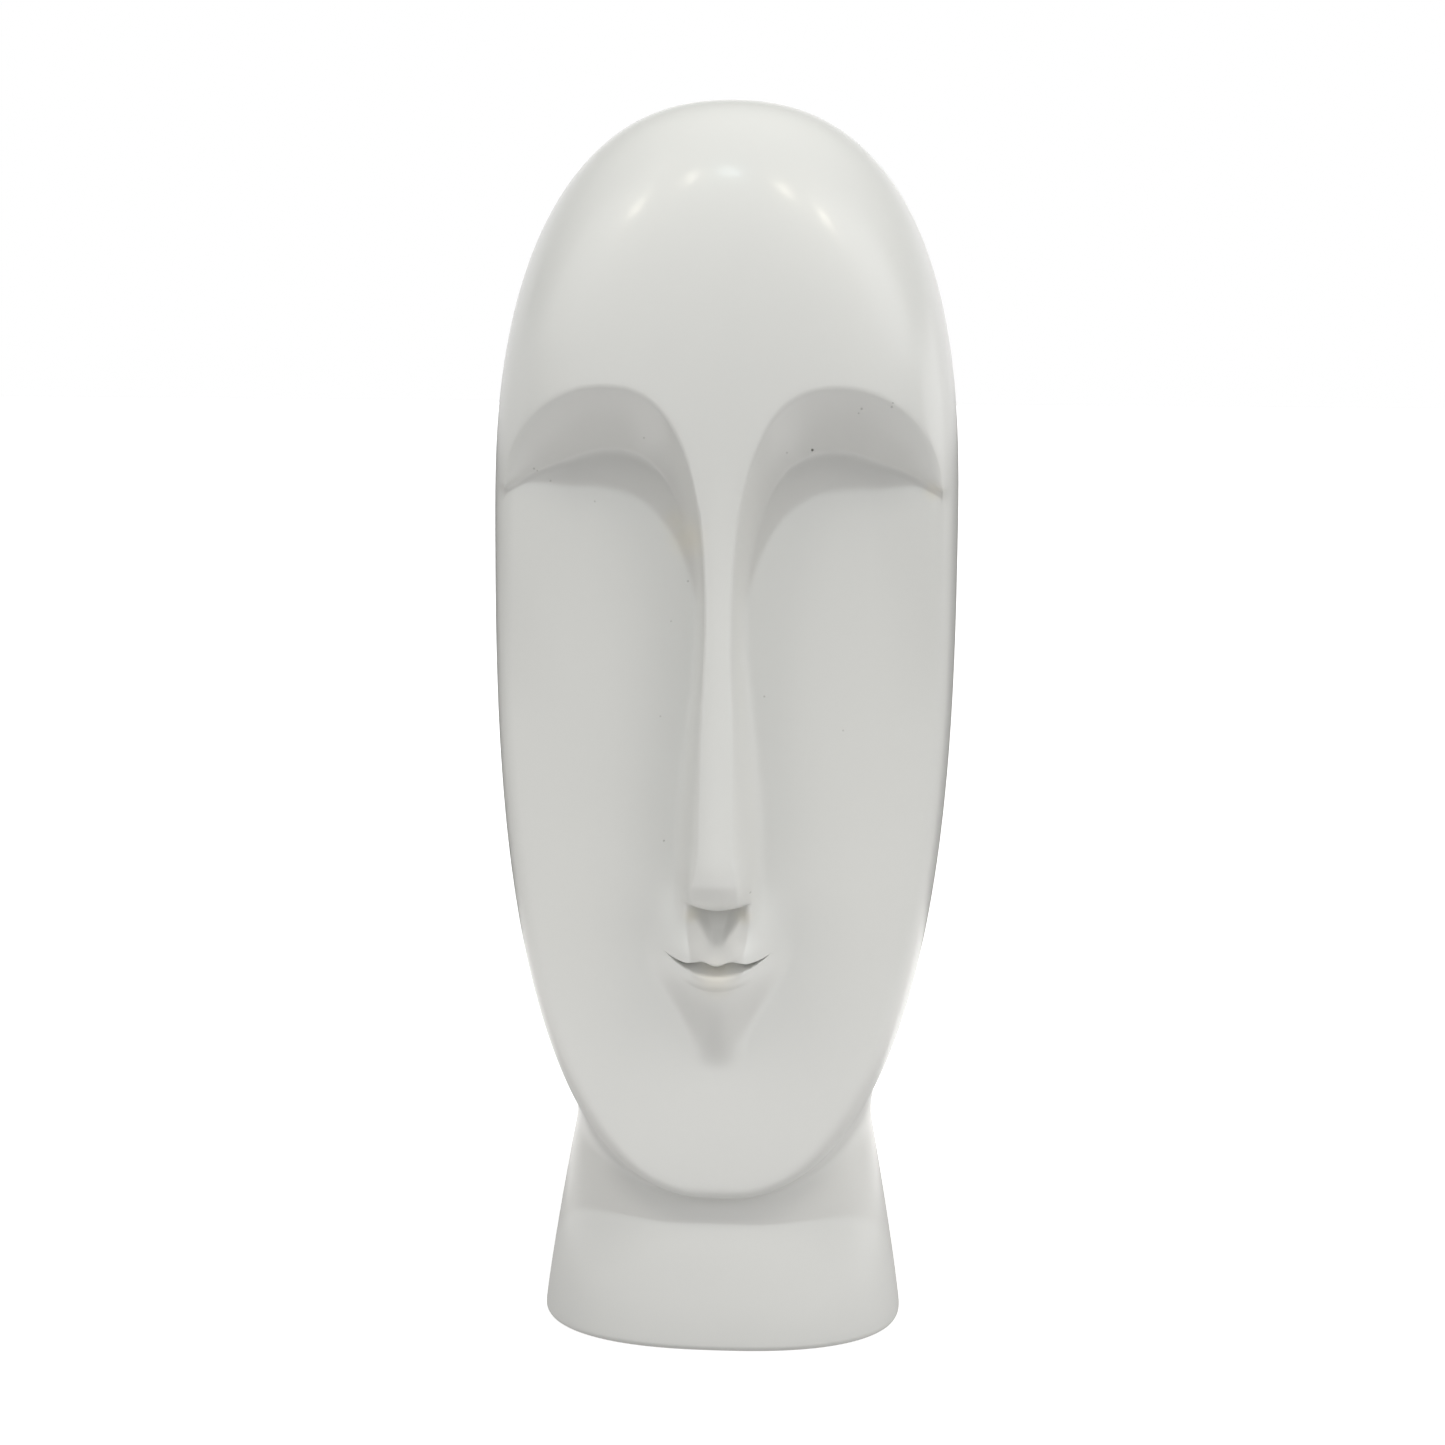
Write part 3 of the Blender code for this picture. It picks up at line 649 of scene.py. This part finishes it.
def face_plane(across, level):
    """The carved-back plane of the cheeks, a little crowned, with the mound of the mouth on it,
    which narrows below the lips, and the cheeks' swelling."""
    down = np.clip((PLANE_TOP - level) / (PLANE_TOP - PLANE_BOTTOM), *PLANE_REACH)
    plane = PLANE_TOP_DEPTH + (PLANE_BOTTOM_DEPTH - PLANE_TOP_DEPTH) * down
    plane = plane - PLANE_FALL * (across / ARCH_CORNER) ** PLANE_FALL_POWER
    reach = np.where(level > MOUND_LEVEL, MOUND_RISE, MOUND_FALL)
    narrowed = 1 - MOUND_NARROWING * smooth_step(*MOUND_NARROWS, (MOUND_LEVEL - level) / MOUND_FALL)
    mound = bump((level - MOUND_LEVEL) / reach) * bump(across / (MOUND_HALF_WIDTH * narrowed))
    reach = np.where(level > CORNER_LEVEL, CHEEK_SWELL_RISE, CHEEK_SWELL_FALL)
    swell = bump((level - CORNER_LEVEL) / reach) * bump((across - ARCH_CORNER) / CHEEK_SWELL_REACH)
    plane = plane + MOUND_DEPTH * mound + CHEEK_SWELL * swell
    return plane + lips(across, level) - philtrum(across, level)


def nose_bottom(across):
    """The tip's lower edge: lowest in the middle, rising as the square of the way out."""
    return NOSE_BOTTOM + NOSE_BOTTOM_RISE * np.clip(across / NOSE_HALF_WIDTH, 0, 1) ** 2


def arch_line(across, lowest, top, *form):
    """An arch's level over a place across the face, and lowest where the arch is below that."""
    half_span, foot, side_power, rise_power = arch_form(across, *form)
    left = 1 - np.clip(np.abs(across - ARCH_MIDDLE) / half_span, 0, 1) ** side_power
    return np.maximum(foot + (top - foot) * left ** (1 / rise_power), lowest)


def crease_line(across):
    """Where the ceiling meets the face plane."""
    form = (CREASE_INNER_END, BASE_HALF_WIDTH, CREASE_OUTER_FORM)
    return arch_line(across, CREASE_RING_LOWEST, CREASE_TOP, *form)


def brow_line(across):
    """Where the ceiling meets the forehead."""
    form = (BROW_INNER_END, RIDGE_HALF_WIDTH, BROW_OUTER_FORM)
    return arch_line(across, BROW_RING_LOWEST, BROW_TOP, *form)


def bearings():
    """All the way round from behind, closer together where the face has detail."""
    half = [0.0]
    for start, end, steps in zip(BEARING_STOPS, BEARING_STOPS[1:], BEARING_STEPS):
        half.extend(start + (end - start) * (step + 1) / steps for step in range(steps))
    half = np.radians(half)
    return np.concatenate([-half[:0:-1], half[:-1]])


def closed_loft(name, points, pole):
    """A mesh over rings of points, closed by one flat face below and a fan to a pole above."""
    rings, around, _ = points.shape
    low = np.arange(rings - 1)[:, None] * around
    here = np.arange(around)
    after = (here + 1) % around
    high = low + around
    sides = np.stack(np.broadcast_arrays(low + here, low + after, high + after, high + here), -1)
    crown = rings * around
    faces = sides.reshape(-1, 4).tolist()
    top = crown - around
    faces += np.stack([top + here, top + after, np.full(around, crown)], -1).tolist()
    faces.append(here[::-1].tolist())
    vertices = np.concatenate([points.reshape(-1, 3), [pole]])
    mesh = bpy.data.meshes.new(name)
    mesh.from_pydata(vertices.tolist(), [], faces)
    mesh.update()
    mesh.shade_smooth()
    return bpy.data.objects.new(name, mesh)


class Value:
    """A shader socket that Python's own operators can be used on."""

    def __init__(self, graph, socket):
        self.graph = graph
        self.socket = socket

    def maths(self, operation, *inputs):
        node = self.graph.node("ShaderNodeMath", {"operation": operation}, dict(enumerate(inputs)))
        return Value(self.graph, node.outputs[0])

    def __add__(self, other):
        return self.maths("ADD", self, other)

    def __sub__(self, other):
        return self.maths("SUBTRACT", self, other)

    def __rsub__(self, other):
        return self.maths("SUBTRACT", other, self)

    def __mul__(self, other):
        return self.maths("MULTIPLY", self, other)

    def __truediv__(self, other):
        return self.maths("DIVIDE", self, other)

    __radd__ = __add__
    __rmul__ = __mul__

    def above(self, edge, softness):
        """0 below the edge and 1 above it, smooth over the softness on each side."""
        node = self.graph.node(
            "ShaderNodeMapRange",
            {"interpolation_type": "SMOOTHSTEP", "clamp": True},
            {0: self, 1: edge - softness, 2: edge + softness, 3: 0.0, 4: 1.0},
        )
        return Value(self.graph, node.outputs[0])

    def larger(self, other):
        return self.maths("MAXIMUM", self, other)

    def root(self):
        return self.maths("SQRT", self)


class Graph:
    """The node tree of a material or of the world."""

    def __init__(self, owner):
        owner.use_nodes = True
        self.tree = owner.node_tree

    def connect(self, value, target):
        if isinstance(value, Value):
            self.tree.links.new(value.socket, target)
        elif isinstance(value, bpy.types.NodeSocket):
            self.tree.links.new(value, target)
        else:
            target.default_value = value

    def node(self, kind, settings, values):
        """A node of a kind, with its settings made first and its sockets set or linked after."""
        node = self.tree.nodes.new(kind)
        for name, setting in settings.items():
            setattr(node, name, setting)
        for name, value in values.items():
            self.connect(value, node.inputs[name])
        return node

    def finish(self, kind, values):
        """Values or links into the sockets of the node that the tree began with."""
        for name, value in values.items():
            self.connect(value, self.tree.nodes[kind].inputs[name])

    def place(self):
        """The place on the object, in its own metres."""
        return self.node("ShaderNodeTexCoord", {}, {}).outputs["Object"]

    def stretched(self, place, scale):
        """A place with each axis taken times its own scale."""
        values = {"Vector": place, "Scale": scale}
        return self.node("ShaderNodeMapping", {"vector_type": "POINT"}, values).outputs[0]

    def near(self, place, across, level):
        """How far a place is from one given in millimetres across and up."""
        centre = (across * MILLIMETRE, 0.0, level * MILLIMETRE)
        node = self.node("ShaderNodeVectorMath", {"operation": "DISTANCE"}, {0: place, 1: centre})
        return Value(self, node.outputs["Value"])

    def scaled(self, colour, share):
        """A colour with each channel taken times a share."""
        node = self.node("ShaderNodeVectorMath", {"operation": "SCALE"}, {0: colour, "Scale": share})
        return node.outputs[0]

    def noise(self, place, scale, detail, roughness):
        """Cloudy noise from 0 to 1, with scale in cycles for each metre."""
        values = {"Vector": place, "Scale": scale, "Detail": detail, "Roughness": roughness}
        node = self.node("ShaderNodeTexNoise", {"noise_dimensions": "3D"}, values)
        return Value(self, node.outputs[0])

    def blend(self, share, first, second):
        """A colour that goes from the first to the second as the share goes from 0 to 1."""
        node = self.node(
            "ShaderNodeMix", {"data_type": "RGBA"}, {0: share, 6: with_alpha(first), 7: with_alpha(second)}
        )
        return node.outputs[2]

    def bumped(self, height, distance, strength=1.0):
        """A normal that follows a height, which is distance metres tall at 1."""
        values = {"Strength": strength, "Distance": distance, "Height": height}
        return self.node("ShaderNodeBump", {}, values).outputs[0]


def with_alpha(colour):
    """A colour with its alpha, or a socket as it is."""
    if isinstance(colour, bpy.types.NodeSocket):
        return colour
    return (colour[0], colour[1], colour[2], 1.0)


def scattered_pinholes(graph, place):
    """Rare round specks: the middles of a few cells, chosen by each cell's own colour."""
    cells = graph.node("ShaderNodeTexVoronoi", {"feature": "F1"}, {"Vector": place, "Scale": SPECK_SCALE})
    from_middle = Value(graph, cells.outputs["Distance"])
    chance = graph.node("ShaderNodeSeparateColor", {}, {0: cells.outputs["Color"]})
    chosen = Value(graph, chance.outputs[0]).above(*SPECK_RARITY)
    return (1.0 - from_middle.above(*SPECK_SIZE)) * chosen * SPECK_STRENGTH


def front_marks(graph, place, marks, edge):
    """Round marks on the front alone, as strong as the strongest of them is at each place."""
    axes = graph.node("ShaderNodeSeparateXYZ", {}, {0: place})
    upright = graph.node("ShaderNodeCombineXYZ", {}, {0: axes.outputs[0], 1: 0.0, 2: axes.outputs[2]})
    in_front = 1.0 - Value(graph, axes.outputs[1]).above(0.0, MILLIMETRE)
    shown = 0.0
    for across, level, radius, strength in marks:
        away = graph.near(upright.outputs[0], across, level)
        outside = away.above(edge[0] * radius * MILLIMETRE, edge[1] * radius * MILLIMETRE)
        shown = ((1.0 - outside) * in_front * strength).larger(shown)
    return shown


def satin_white(finish):
    """Satin white over a hand-rubbed cast: faint clouding in tone and gloss, a fine skin, the few
    pinholes that the cast was left with, and painted warm light where the warm lamps fall."""
    material = bpy.data.materials.new("satin_white")
    graph = Graph(material)
    place = graph.place()
    clouds = graph.noise(place, *CLOUDS)
    streaks = graph.noise(graph.stretched(place, STREAK_STRETCH), *STREAKS)
    tone = clouds * CLOUD_SHARE + streaks * (1.0 - CLOUD_SHARE)
    skin = graph.noise(place, *SKIN)
    rubbed = graph.noise(place, *RUBBED)
    holes = scattered_pinholes(graph, place).larger(front_marks(graph, place, PINHOLES, PINHOLE_EDGE))
    # Painted warm light: the warm lamps' tint, laid on as marks on the lower lip, the philtrum's sides, a
    # brow corner and beside the nose.
    painted_warm_light = front_marks(graph, place, WARM_LIGHT_MARKS, WARM_LIGHT_EDGE)
    body = graph.blend(tone, finish.shade_colour, finish.colour)
    body = graph.blend(painted_warm_light, body, finish.warm_light_colour)
    height = skin * SKIN_HEIGHT + rubbed * RUBBED_HEIGHT - holes * PINHOLE_DEPTH
    least_rough = finish.roughness - GLOSS_BELOW
    graph.finish(
        "Principled BSDF",
        {
            "Base Color": graph.blend(holes * PINHOLE_DARKNESS, body, finish.pinhole_colour),
            "Roughness": least_rough + clouds * GLOSS_CLOUDING + skin * GLOSS_GRAIN,
            "Normal": graph.bumped(height, RELIEF),
            "Coat Weight": finish.coat,
            "Coat Roughness": COAT_ROUGHNESS,
            "Metallic": 0.0,
        },
    )
    return material


def pale_paper(colour, glow, rings):
    """Seamless pale paper, matt, with the faintest unevenness, as the viewer sees it. The light that
    it throws up at the sculpture comes from rings about the sculpture, each with its own strength."""
    material = bpy.data.materials.new("pale_paper")
    graph = Graph(material)
    place = graph.place()
    away = graph.node("ShaderNodeVectorMath", {"operation": "LENGTH"}, {0: place})
    distance = Value(graph, away.outputs["Value"])
    cloud = graph.noise(place, *PAPER_CLOUDS)
    darker = [channel * PAPER_UNEVENNESS for channel in colour]
    fibre = graph.noise(place, *PAPER_FIBRE)
    shown_glow = distance.above(GLOW_MIDDLE, GLOW_REACH) * (1.0 - glow) + glow
    graph.finish(
        "Principled BSDF",
        {
            "Base Color": graph.blend(cloud, darker, colour),
            "Roughness": PAPER_ROUGHNESS,
            "Normal": graph.bumped(fibre, PAPER_RELIEF, PAPER_RELIEF_SHARE),
            "Emission Color": graph.scaled(WHITE[:3], shown_glow),
            "Emission Strength": 1.0,
        },
    )
    strength = rings[0]
    for edge, nearer, farther in zip(FLOOR_RINGS, rings, rings[1:]):
        strength = distance.above(edge, FLOOR_EDGE) * (farther - nearer) + strength
    seen = graph.node("ShaderNodeLightPath", {}, {}).outputs["Is Camera Ray"]
    thrown_up = graph.scaled(FLOOR_TINT, strength)
    bounce = graph.node("ShaderNodeEmission", {}, {"Color": thrown_up, "Strength": 1.0}).outputs[0]
    shown = graph.tree.nodes["Principled BSDF"].outputs[0]
    mixed = graph.node("ShaderNodeMixShader", {}, {0: seen, 1: bounce, 2: shown}).outputs[0]
    graph.finish("Material Output", {"Surface": mixed})
    return material


def flat_sheet(name, reach, steps):
    """A level square sheet: even steps across and along, from minus the reach to the reach."""
    places = np.linspace(-reach, reach, steps + 1)
    across, along = np.meshgrid(places, places)
    grid = np.stack([across, along, np.zeros_like(across)], -1)
    row = steps + 1
    here = np.arange(steps) + np.arange(steps)[:, None] * row
    quads = np.stack([here, here + 1, here + row + 1, here + row], -1)
    mesh = bpy.data.meshes.new(name)
    mesh.from_pydata(grid.reshape(-1, 3).tolist(), [], quads.reshape(-1, 4).tolist())
    mesh.update()
    mesh.shade_smooth()
    return bpy.data.objects.new(name, mesh)


def lamp_place(turn, lift):
    """A place at the lamps' reach from the face, turned round it and lifted, in degrees."""
    turn = math.radians(turn)
    lift = math.radians(lift)
    level = Vector((math.sin(turn), -math.cos(turn), 0)) * math.cos(lift)
    return Vector(LAMP_TARGET) + (level + Vector((0, 0, math.sin(lift)))) * LAMP_REACH


def add_lamps(name, row, power, glints):
    """Round lamps, each with its place, size, share of power and colour, that face the sculpture.
    They show as glints in it, or else only light it."""
    for number, (place, size, share, colour) in enumerate(row):
        lamp = bpy.data.lights.new(f"{name}_{number}", "AREA")
        lamp.shape = "DISK"
        lamp.size = size
        lamp.energy = power * share
        lamp.color = colour
        item = bpy.data.objects.new(f"{name}_{number}", lamp)
        item.location = place
        towards = Vector(LAMP_TARGET) - item.location
        item.rotation_euler = towards.to_track_quat("-Z", "Y").to_euler()
        item.visible_glossy = glints
        item.visible_diffuse = not glints
        bpy.context.scene.collection.objects.link(item)


def add_camera():
    """The camera's place and axes from its distance, height, turn, pitch and roll."""
    turned = Vector((math.cos(CAMERA_TURN), math.sin(CAMERA_TURN), 0))
    ahead = Vector((-math.sin(CAMERA_TURN), math.cos(CAMERA_TURN), 0))
    forward = ahead * math.cos(CAMERA_PITCH) - Vector((0, 0, math.sin(CAMERA_PITCH)))
    above = turned.cross(forward)
    right = turned * math.cos(CAMERA_ROLL) - above * math.sin(CAMERA_ROLL)
    up = turned * math.sin(CAMERA_ROLL) + above * math.cos(CAMERA_ROLL)
    place = turned * CAMERA_SHIFT_ACROSS - ahead * CAMERA_DISTANCE + Vector((0, 0, CAMERA_HEIGHT))
    data = bpy.data.cameras.new("camera")
    data.sensor_width = SENSOR_WIDTH
    data.lens = SENSOR_WIDTH * FOCAL_PIXELS / IMAGE_SIDE
    data.clip_start = NEAREST_SEEN
    data.clip_end = FARTHEST_SEEN
    data.dof.use_dof = False
    camera = bpy.data.objects.new("camera", data)
    axes = Matrix((right, up, -forward)).transposed().to_4x4()
    camera.matrix_world = Matrix.Translation(place) @ axes
    bpy.context.scene.collection.objects.link(camera)
    bpy.context.scene.camera = camera


def studio_world(panel, windows, sides, back):
    """A studio of soft bands: a panel behind the viewer, a window on each side at half height, a
    strip low down on each side of the sculpture, and one low down behind it. The viewer sees
    plain white."""
    world = bpy.data.worlds.new("studio")
    graph = Graph(world)
    direction = graph.node("ShaderNodeTexCoord", {}, {}).outputs["Generated"]
    axes = graph.node("ShaderNodeSeparateXYZ", {}, {0: direction})
    rightward = Value(graph, axes.outputs[0])
    upward = Value(graph, axes.outputs[2])
    level_share = (1.0 - upward * upward).larger(TINY).root()
    ahead = Value(graph, axes.outputs[1]) / level_share
    lifted = upward.above(0.0, BAND_EDGE)
    over_windows = upward.above(WINDOWS_UP_TO, BAND_EDGE)
    over_sides = upward.above(SIDES_UP_TO, BAND_EDGE)
    over_back = upward.above(BACK_UP_TO, BACK_EDGE)
    past_panel = ahead.above(PANEL_ROUND_TO, BAND_EDGE)
    past_windows = ahead.above(WINDOWS_ROUND_TO, BAND_EDGE)
    past_sides = ahead.above(SIDES_ROUND_TO, BAND_EDGE)
    lean = rightward * LIGHT_LEAN + 1.0
    in_panel = lifted * (1.0 - over_windows) * (1.0 - past_panel)
    in_windows = over_sides * (1.0 - over_windows) * past_panel * (1.0 - past_windows) * lean
    in_sides = lifted * (1.0 - over_sides) * past_windows * (1.0 - past_sides) * lean
    in_back = lifted * (1.0 - over_back) * past_sides
    strength = in_panel * panel + in_windows * windows + in_sides * sides + in_back * back
    graph.finish("Background", {"Color": WHITE, "Strength": strength})
    white = graph.node("ShaderNodeBackground", {}, {"Color": WHITE, "Strength": 1.0}).outputs[0]
    seen = graph.node("ShaderNodeLightPath", {}, {}).outputs["Is Camera Ray"]
    dome = graph.tree.nodes["Background"].outputs[0]
    mixed = graph.node("ShaderNodeMixShader", {}, {0: seen, 1: dome, 2: white}).outputs[0]
    graph.finish("World Output", {"Surface": mixed})
    bpy.context.scene.world = world


class SculptureSizes(bpy.types.PropertyGroup):
    """The sculpture's driving sizes."""

    height: FloatProperty(
        name="Height", description="From the underside to the crown", default=HIGH_CORNER.z, unit="LENGTH"
    )
    head_width: FloatProperty(
        name="Head width",
        description="At the widest level",
        default=HIGH_CORNER.x - LOW_CORNER.x,
        unit="LENGTH",
    )
    head_half_depth: FloatProperty(
        name="Head half depth", description="From axis to back", default=HIGH_CORNER.y, unit="LENGTH"
    )
    foot_width: FloatProperty(
        name="Foot width", description="Across the foot", default=0.1216, unit="LENGTH"
    )
    foot_depth: FloatProperty(
        name="Foot depth", description="Along the foot", default=0.0884, unit="LENGTH"
    )
    waist_width: FloatProperty(
        name="Waist width", description="Across the neck under the jaw", default=0.0984, unit="LENGTH"
    )
    waist_depth: FloatProperty(
        name="Waist depth", description="Along the neck under the jaw", default=0.0636, unit="LENGTH"
    )
    foot_edge: FloatProperty(
        name="Foot edge", description="Radius of the foot's lower edge", default=0.0022, unit="LENGTH"
    )
    under_chin: FloatProperty(
        name="Under chin", description="Blend between the jaw and the neck", default=0.0030, unit="LENGTH"
    )
    beside_chin: FloatProperty(
        name="Beside chin", description="The same blend at the sides", default=0.0110, unit="LENGTH"
    )
    face_rim: FloatProperty(
        name="Face rim", description="Rounding of the face plane's edge", default=0.0050, unit="LENGTH"
    )
    ridge_blend: FloatProperty(
        name="Ridge blend", description="Blend of the nose into the forehead", default=0.0030, unit="LENGTH"
    )


class SculptureFinish(bpy.types.PropertyGroup):
    """The sculpture's colours and gloss."""

    colour: FloatVectorProperty(
        name="Colour",
        description="Satin white",
        default=(0.765, 0.765, 0.742),
        subtype="COLOR",
        min=0,
        max=1,
    )
    shade_colour: FloatVectorProperty(
        name="Clouding",
        description="The darker tone of its clouding",
        default=(0.735, 0.737, 0.720),
        subtype="COLOR",
        min=0,
        max=1,
    )
    # Painted warm light: the colour of the warm lamps' tint on the lit places of the front.
    warm_light_colour: FloatVectorProperty(
        name="Warm marks",
        description="Where the white has yellowed",
        default=(0.80, 0.765, 0.66),
        subtype="COLOR",
        min=0,
        max=1,
    )
    pinhole_colour: FloatVectorProperty(
        name="Pinholes",
        description="Inside the pinholes",
        default=(0.12, 0.115, 0.10),
        subtype="COLOR",
        min=0,
        max=1,
    )
    roughness: FloatProperty(
        name="Roughness", description="Of the paint", default=0.36, min=0, max=1, subtype="FACTOR"
    )
    coat: FloatProperty(
        name="Coat", description="Of the clear satin coat", default=0.35, min=0, max=1, subtype="FACTOR"
    )


class SculptureStage(bpy.types.PropertyGroup):
    """The studio."""

    floor_colour: FloatVectorProperty(
        name="Floor",
        description="Seamless paper",
        default=(0.90, 0.90, 0.90),
        subtype="COLOR",
        min=0,
        max=1,
    )
    floor_glow: FloatProperty(
        name="Floor glow", description="Light from below the paper", default=0.62, min=0
    )
    ring_under: FloatProperty(
        name="Under", description="Light thrown up close by", default=0.50, min=0
    )
    ring_near: FloatProperty(
        name="Near ring", description="Light thrown up from the lit ring", default=1.56, min=0
    )
    ring_far: FloatProperty(
        name="Far floor", description="Light thrown up beyond the lit ring", default=0.0, min=0
    )
    panel: FloatProperty(name="Panel", description="Brightness behind the viewer", default=0.61, min=0)
    windows: FloatProperty(
        name="Windows", description="Brightness beside the viewer", default=1.41, min=0
    )
    sides: FloatProperty(
        name="Sides", description="Brightness low down beside the sculpture", default=1.70, min=0
    )
    back: FloatProperty(
        name="Back", description="Brightness low down behind the sculpture", default=1.15, min=0
    )
    lamp_power: FloatProperty(
        name="Lamps", description="Of a soft lamp with share 1", default=1.00, min=0, unit="POWER"
    )
    bulb_power: FloatProperty(
        name="Bulbs", description="Of a bulb with share 1", default=0.52, min=0, unit="POWER"
    )
    bulb_size: FloatProperty(name="Bulb size", description="Across each bulb", default=0.10, unit="LENGTH")


class SCULPTURE_OT_face(bpy.types.Operator):
    """Build the head, neck and foot as one cast surface"""

    bl_idname = "sculpture.face"
    bl_label = "Face"

    def execute(self, context):
        sizes = context.scene.sculpture_sizes
        piece = closed_loft("face_cast", FaceForm(sizes).points(), (0.0, 0.0, sizes.height))
        piece.data.materials.append(satin_white(context.scene.sculpture_finish))
        context.scene.collection.objects.link(piece)
        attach(piece, BODY)
        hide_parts(NODE)
        return {"FINISHED"}


class SCULPTURE_OT_stage(bpy.types.Operator):
    """Build the floor, lamps, surround and camera"""

    bl_idname = "sculpture.stage"
    bl_label = "Stage"

    def execute(self, context):
        stage = context.scene.sculpture_stage
        paper = flat_sheet("floor", FLOOR_REACH, FLOOR_STEPS)
        rings = (stage.ring_under, stage.ring_near, stage.ring_far)
        paper.data.materials.append(pale_paper(stage.floor_colour, stage.floor_glow, rings))
        context.scene.collection.objects.link(paper)
        lamps = [(lamp_place(turn, lift), *rest) for turn, lift, *rest in SOFT_LAMPS]
        bulbs = [(Vector(place), stage.bulb_size, share, colour) for *place, share, colour in BULBS]
        add_lamps("soft_lamp", lamps, stage.lamp_power, False)
        add_lamps("bulb", bulbs, stage.bulb_power, True)
        studio_world(stage.panel, stage.windows, stage.sides, stage.back)
        context.scene.view_settings.view_transform = "Standard"
        add_camera()
        return {"FINISHED"}


class SCULPTURE_PT_panel(bpy.types.Panel):
    """Sizes, colours and the steps in order"""

    bl_idname = "SCULPTURE_PT_panel"
    bl_label = "Face Sculpture"
    bl_space_type = "VIEW_3D"
    bl_region_type = "UI"
    bl_category = "Sculpture"

    def draw(self, context):
        scene = context.scene
        for group in (scene.sculpture_sizes, scene.sculpture_finish, scene.sculpture_stage):
            box = self.layout.box()
            for name in group.__annotations__:
                box.prop(group, name)
        for step in STEPS:
            self.layout.operator(step.bl_idname)


STEPS = (SCULPTURE_OT_face, SCULPTURE_OT_stage)
CLASSES = (SculptureSizes, SculptureFinish, SculptureStage, *STEPS, SCULPTURE_PT_panel)


def register():
    for item in CLASSES:
        bpy.utils.register_class(item)
    bpy.types.Scene.sculpture_sizes = PointerProperty(type=SculptureSizes)
    bpy.types.Scene.sculpture_finish = PointerProperty(type=SculptureFinish)
    bpy.types.Scene.sculpture_stage = PointerProperty(type=SculptureStage)


def unregister():
    del bpy.types.Scene.sculpture_stage
    del bpy.types.Scene.sculpture_finish
    del bpy.types.Scene.sculpture_sizes
    for item in reversed(CLASSES):
        bpy.utils.unregister_class(item)


def main():
    register()
    bpy.ops.sculpture.face()
    bpy.ops.sculpture.stage()


if __name__ == "__main__":
    main()
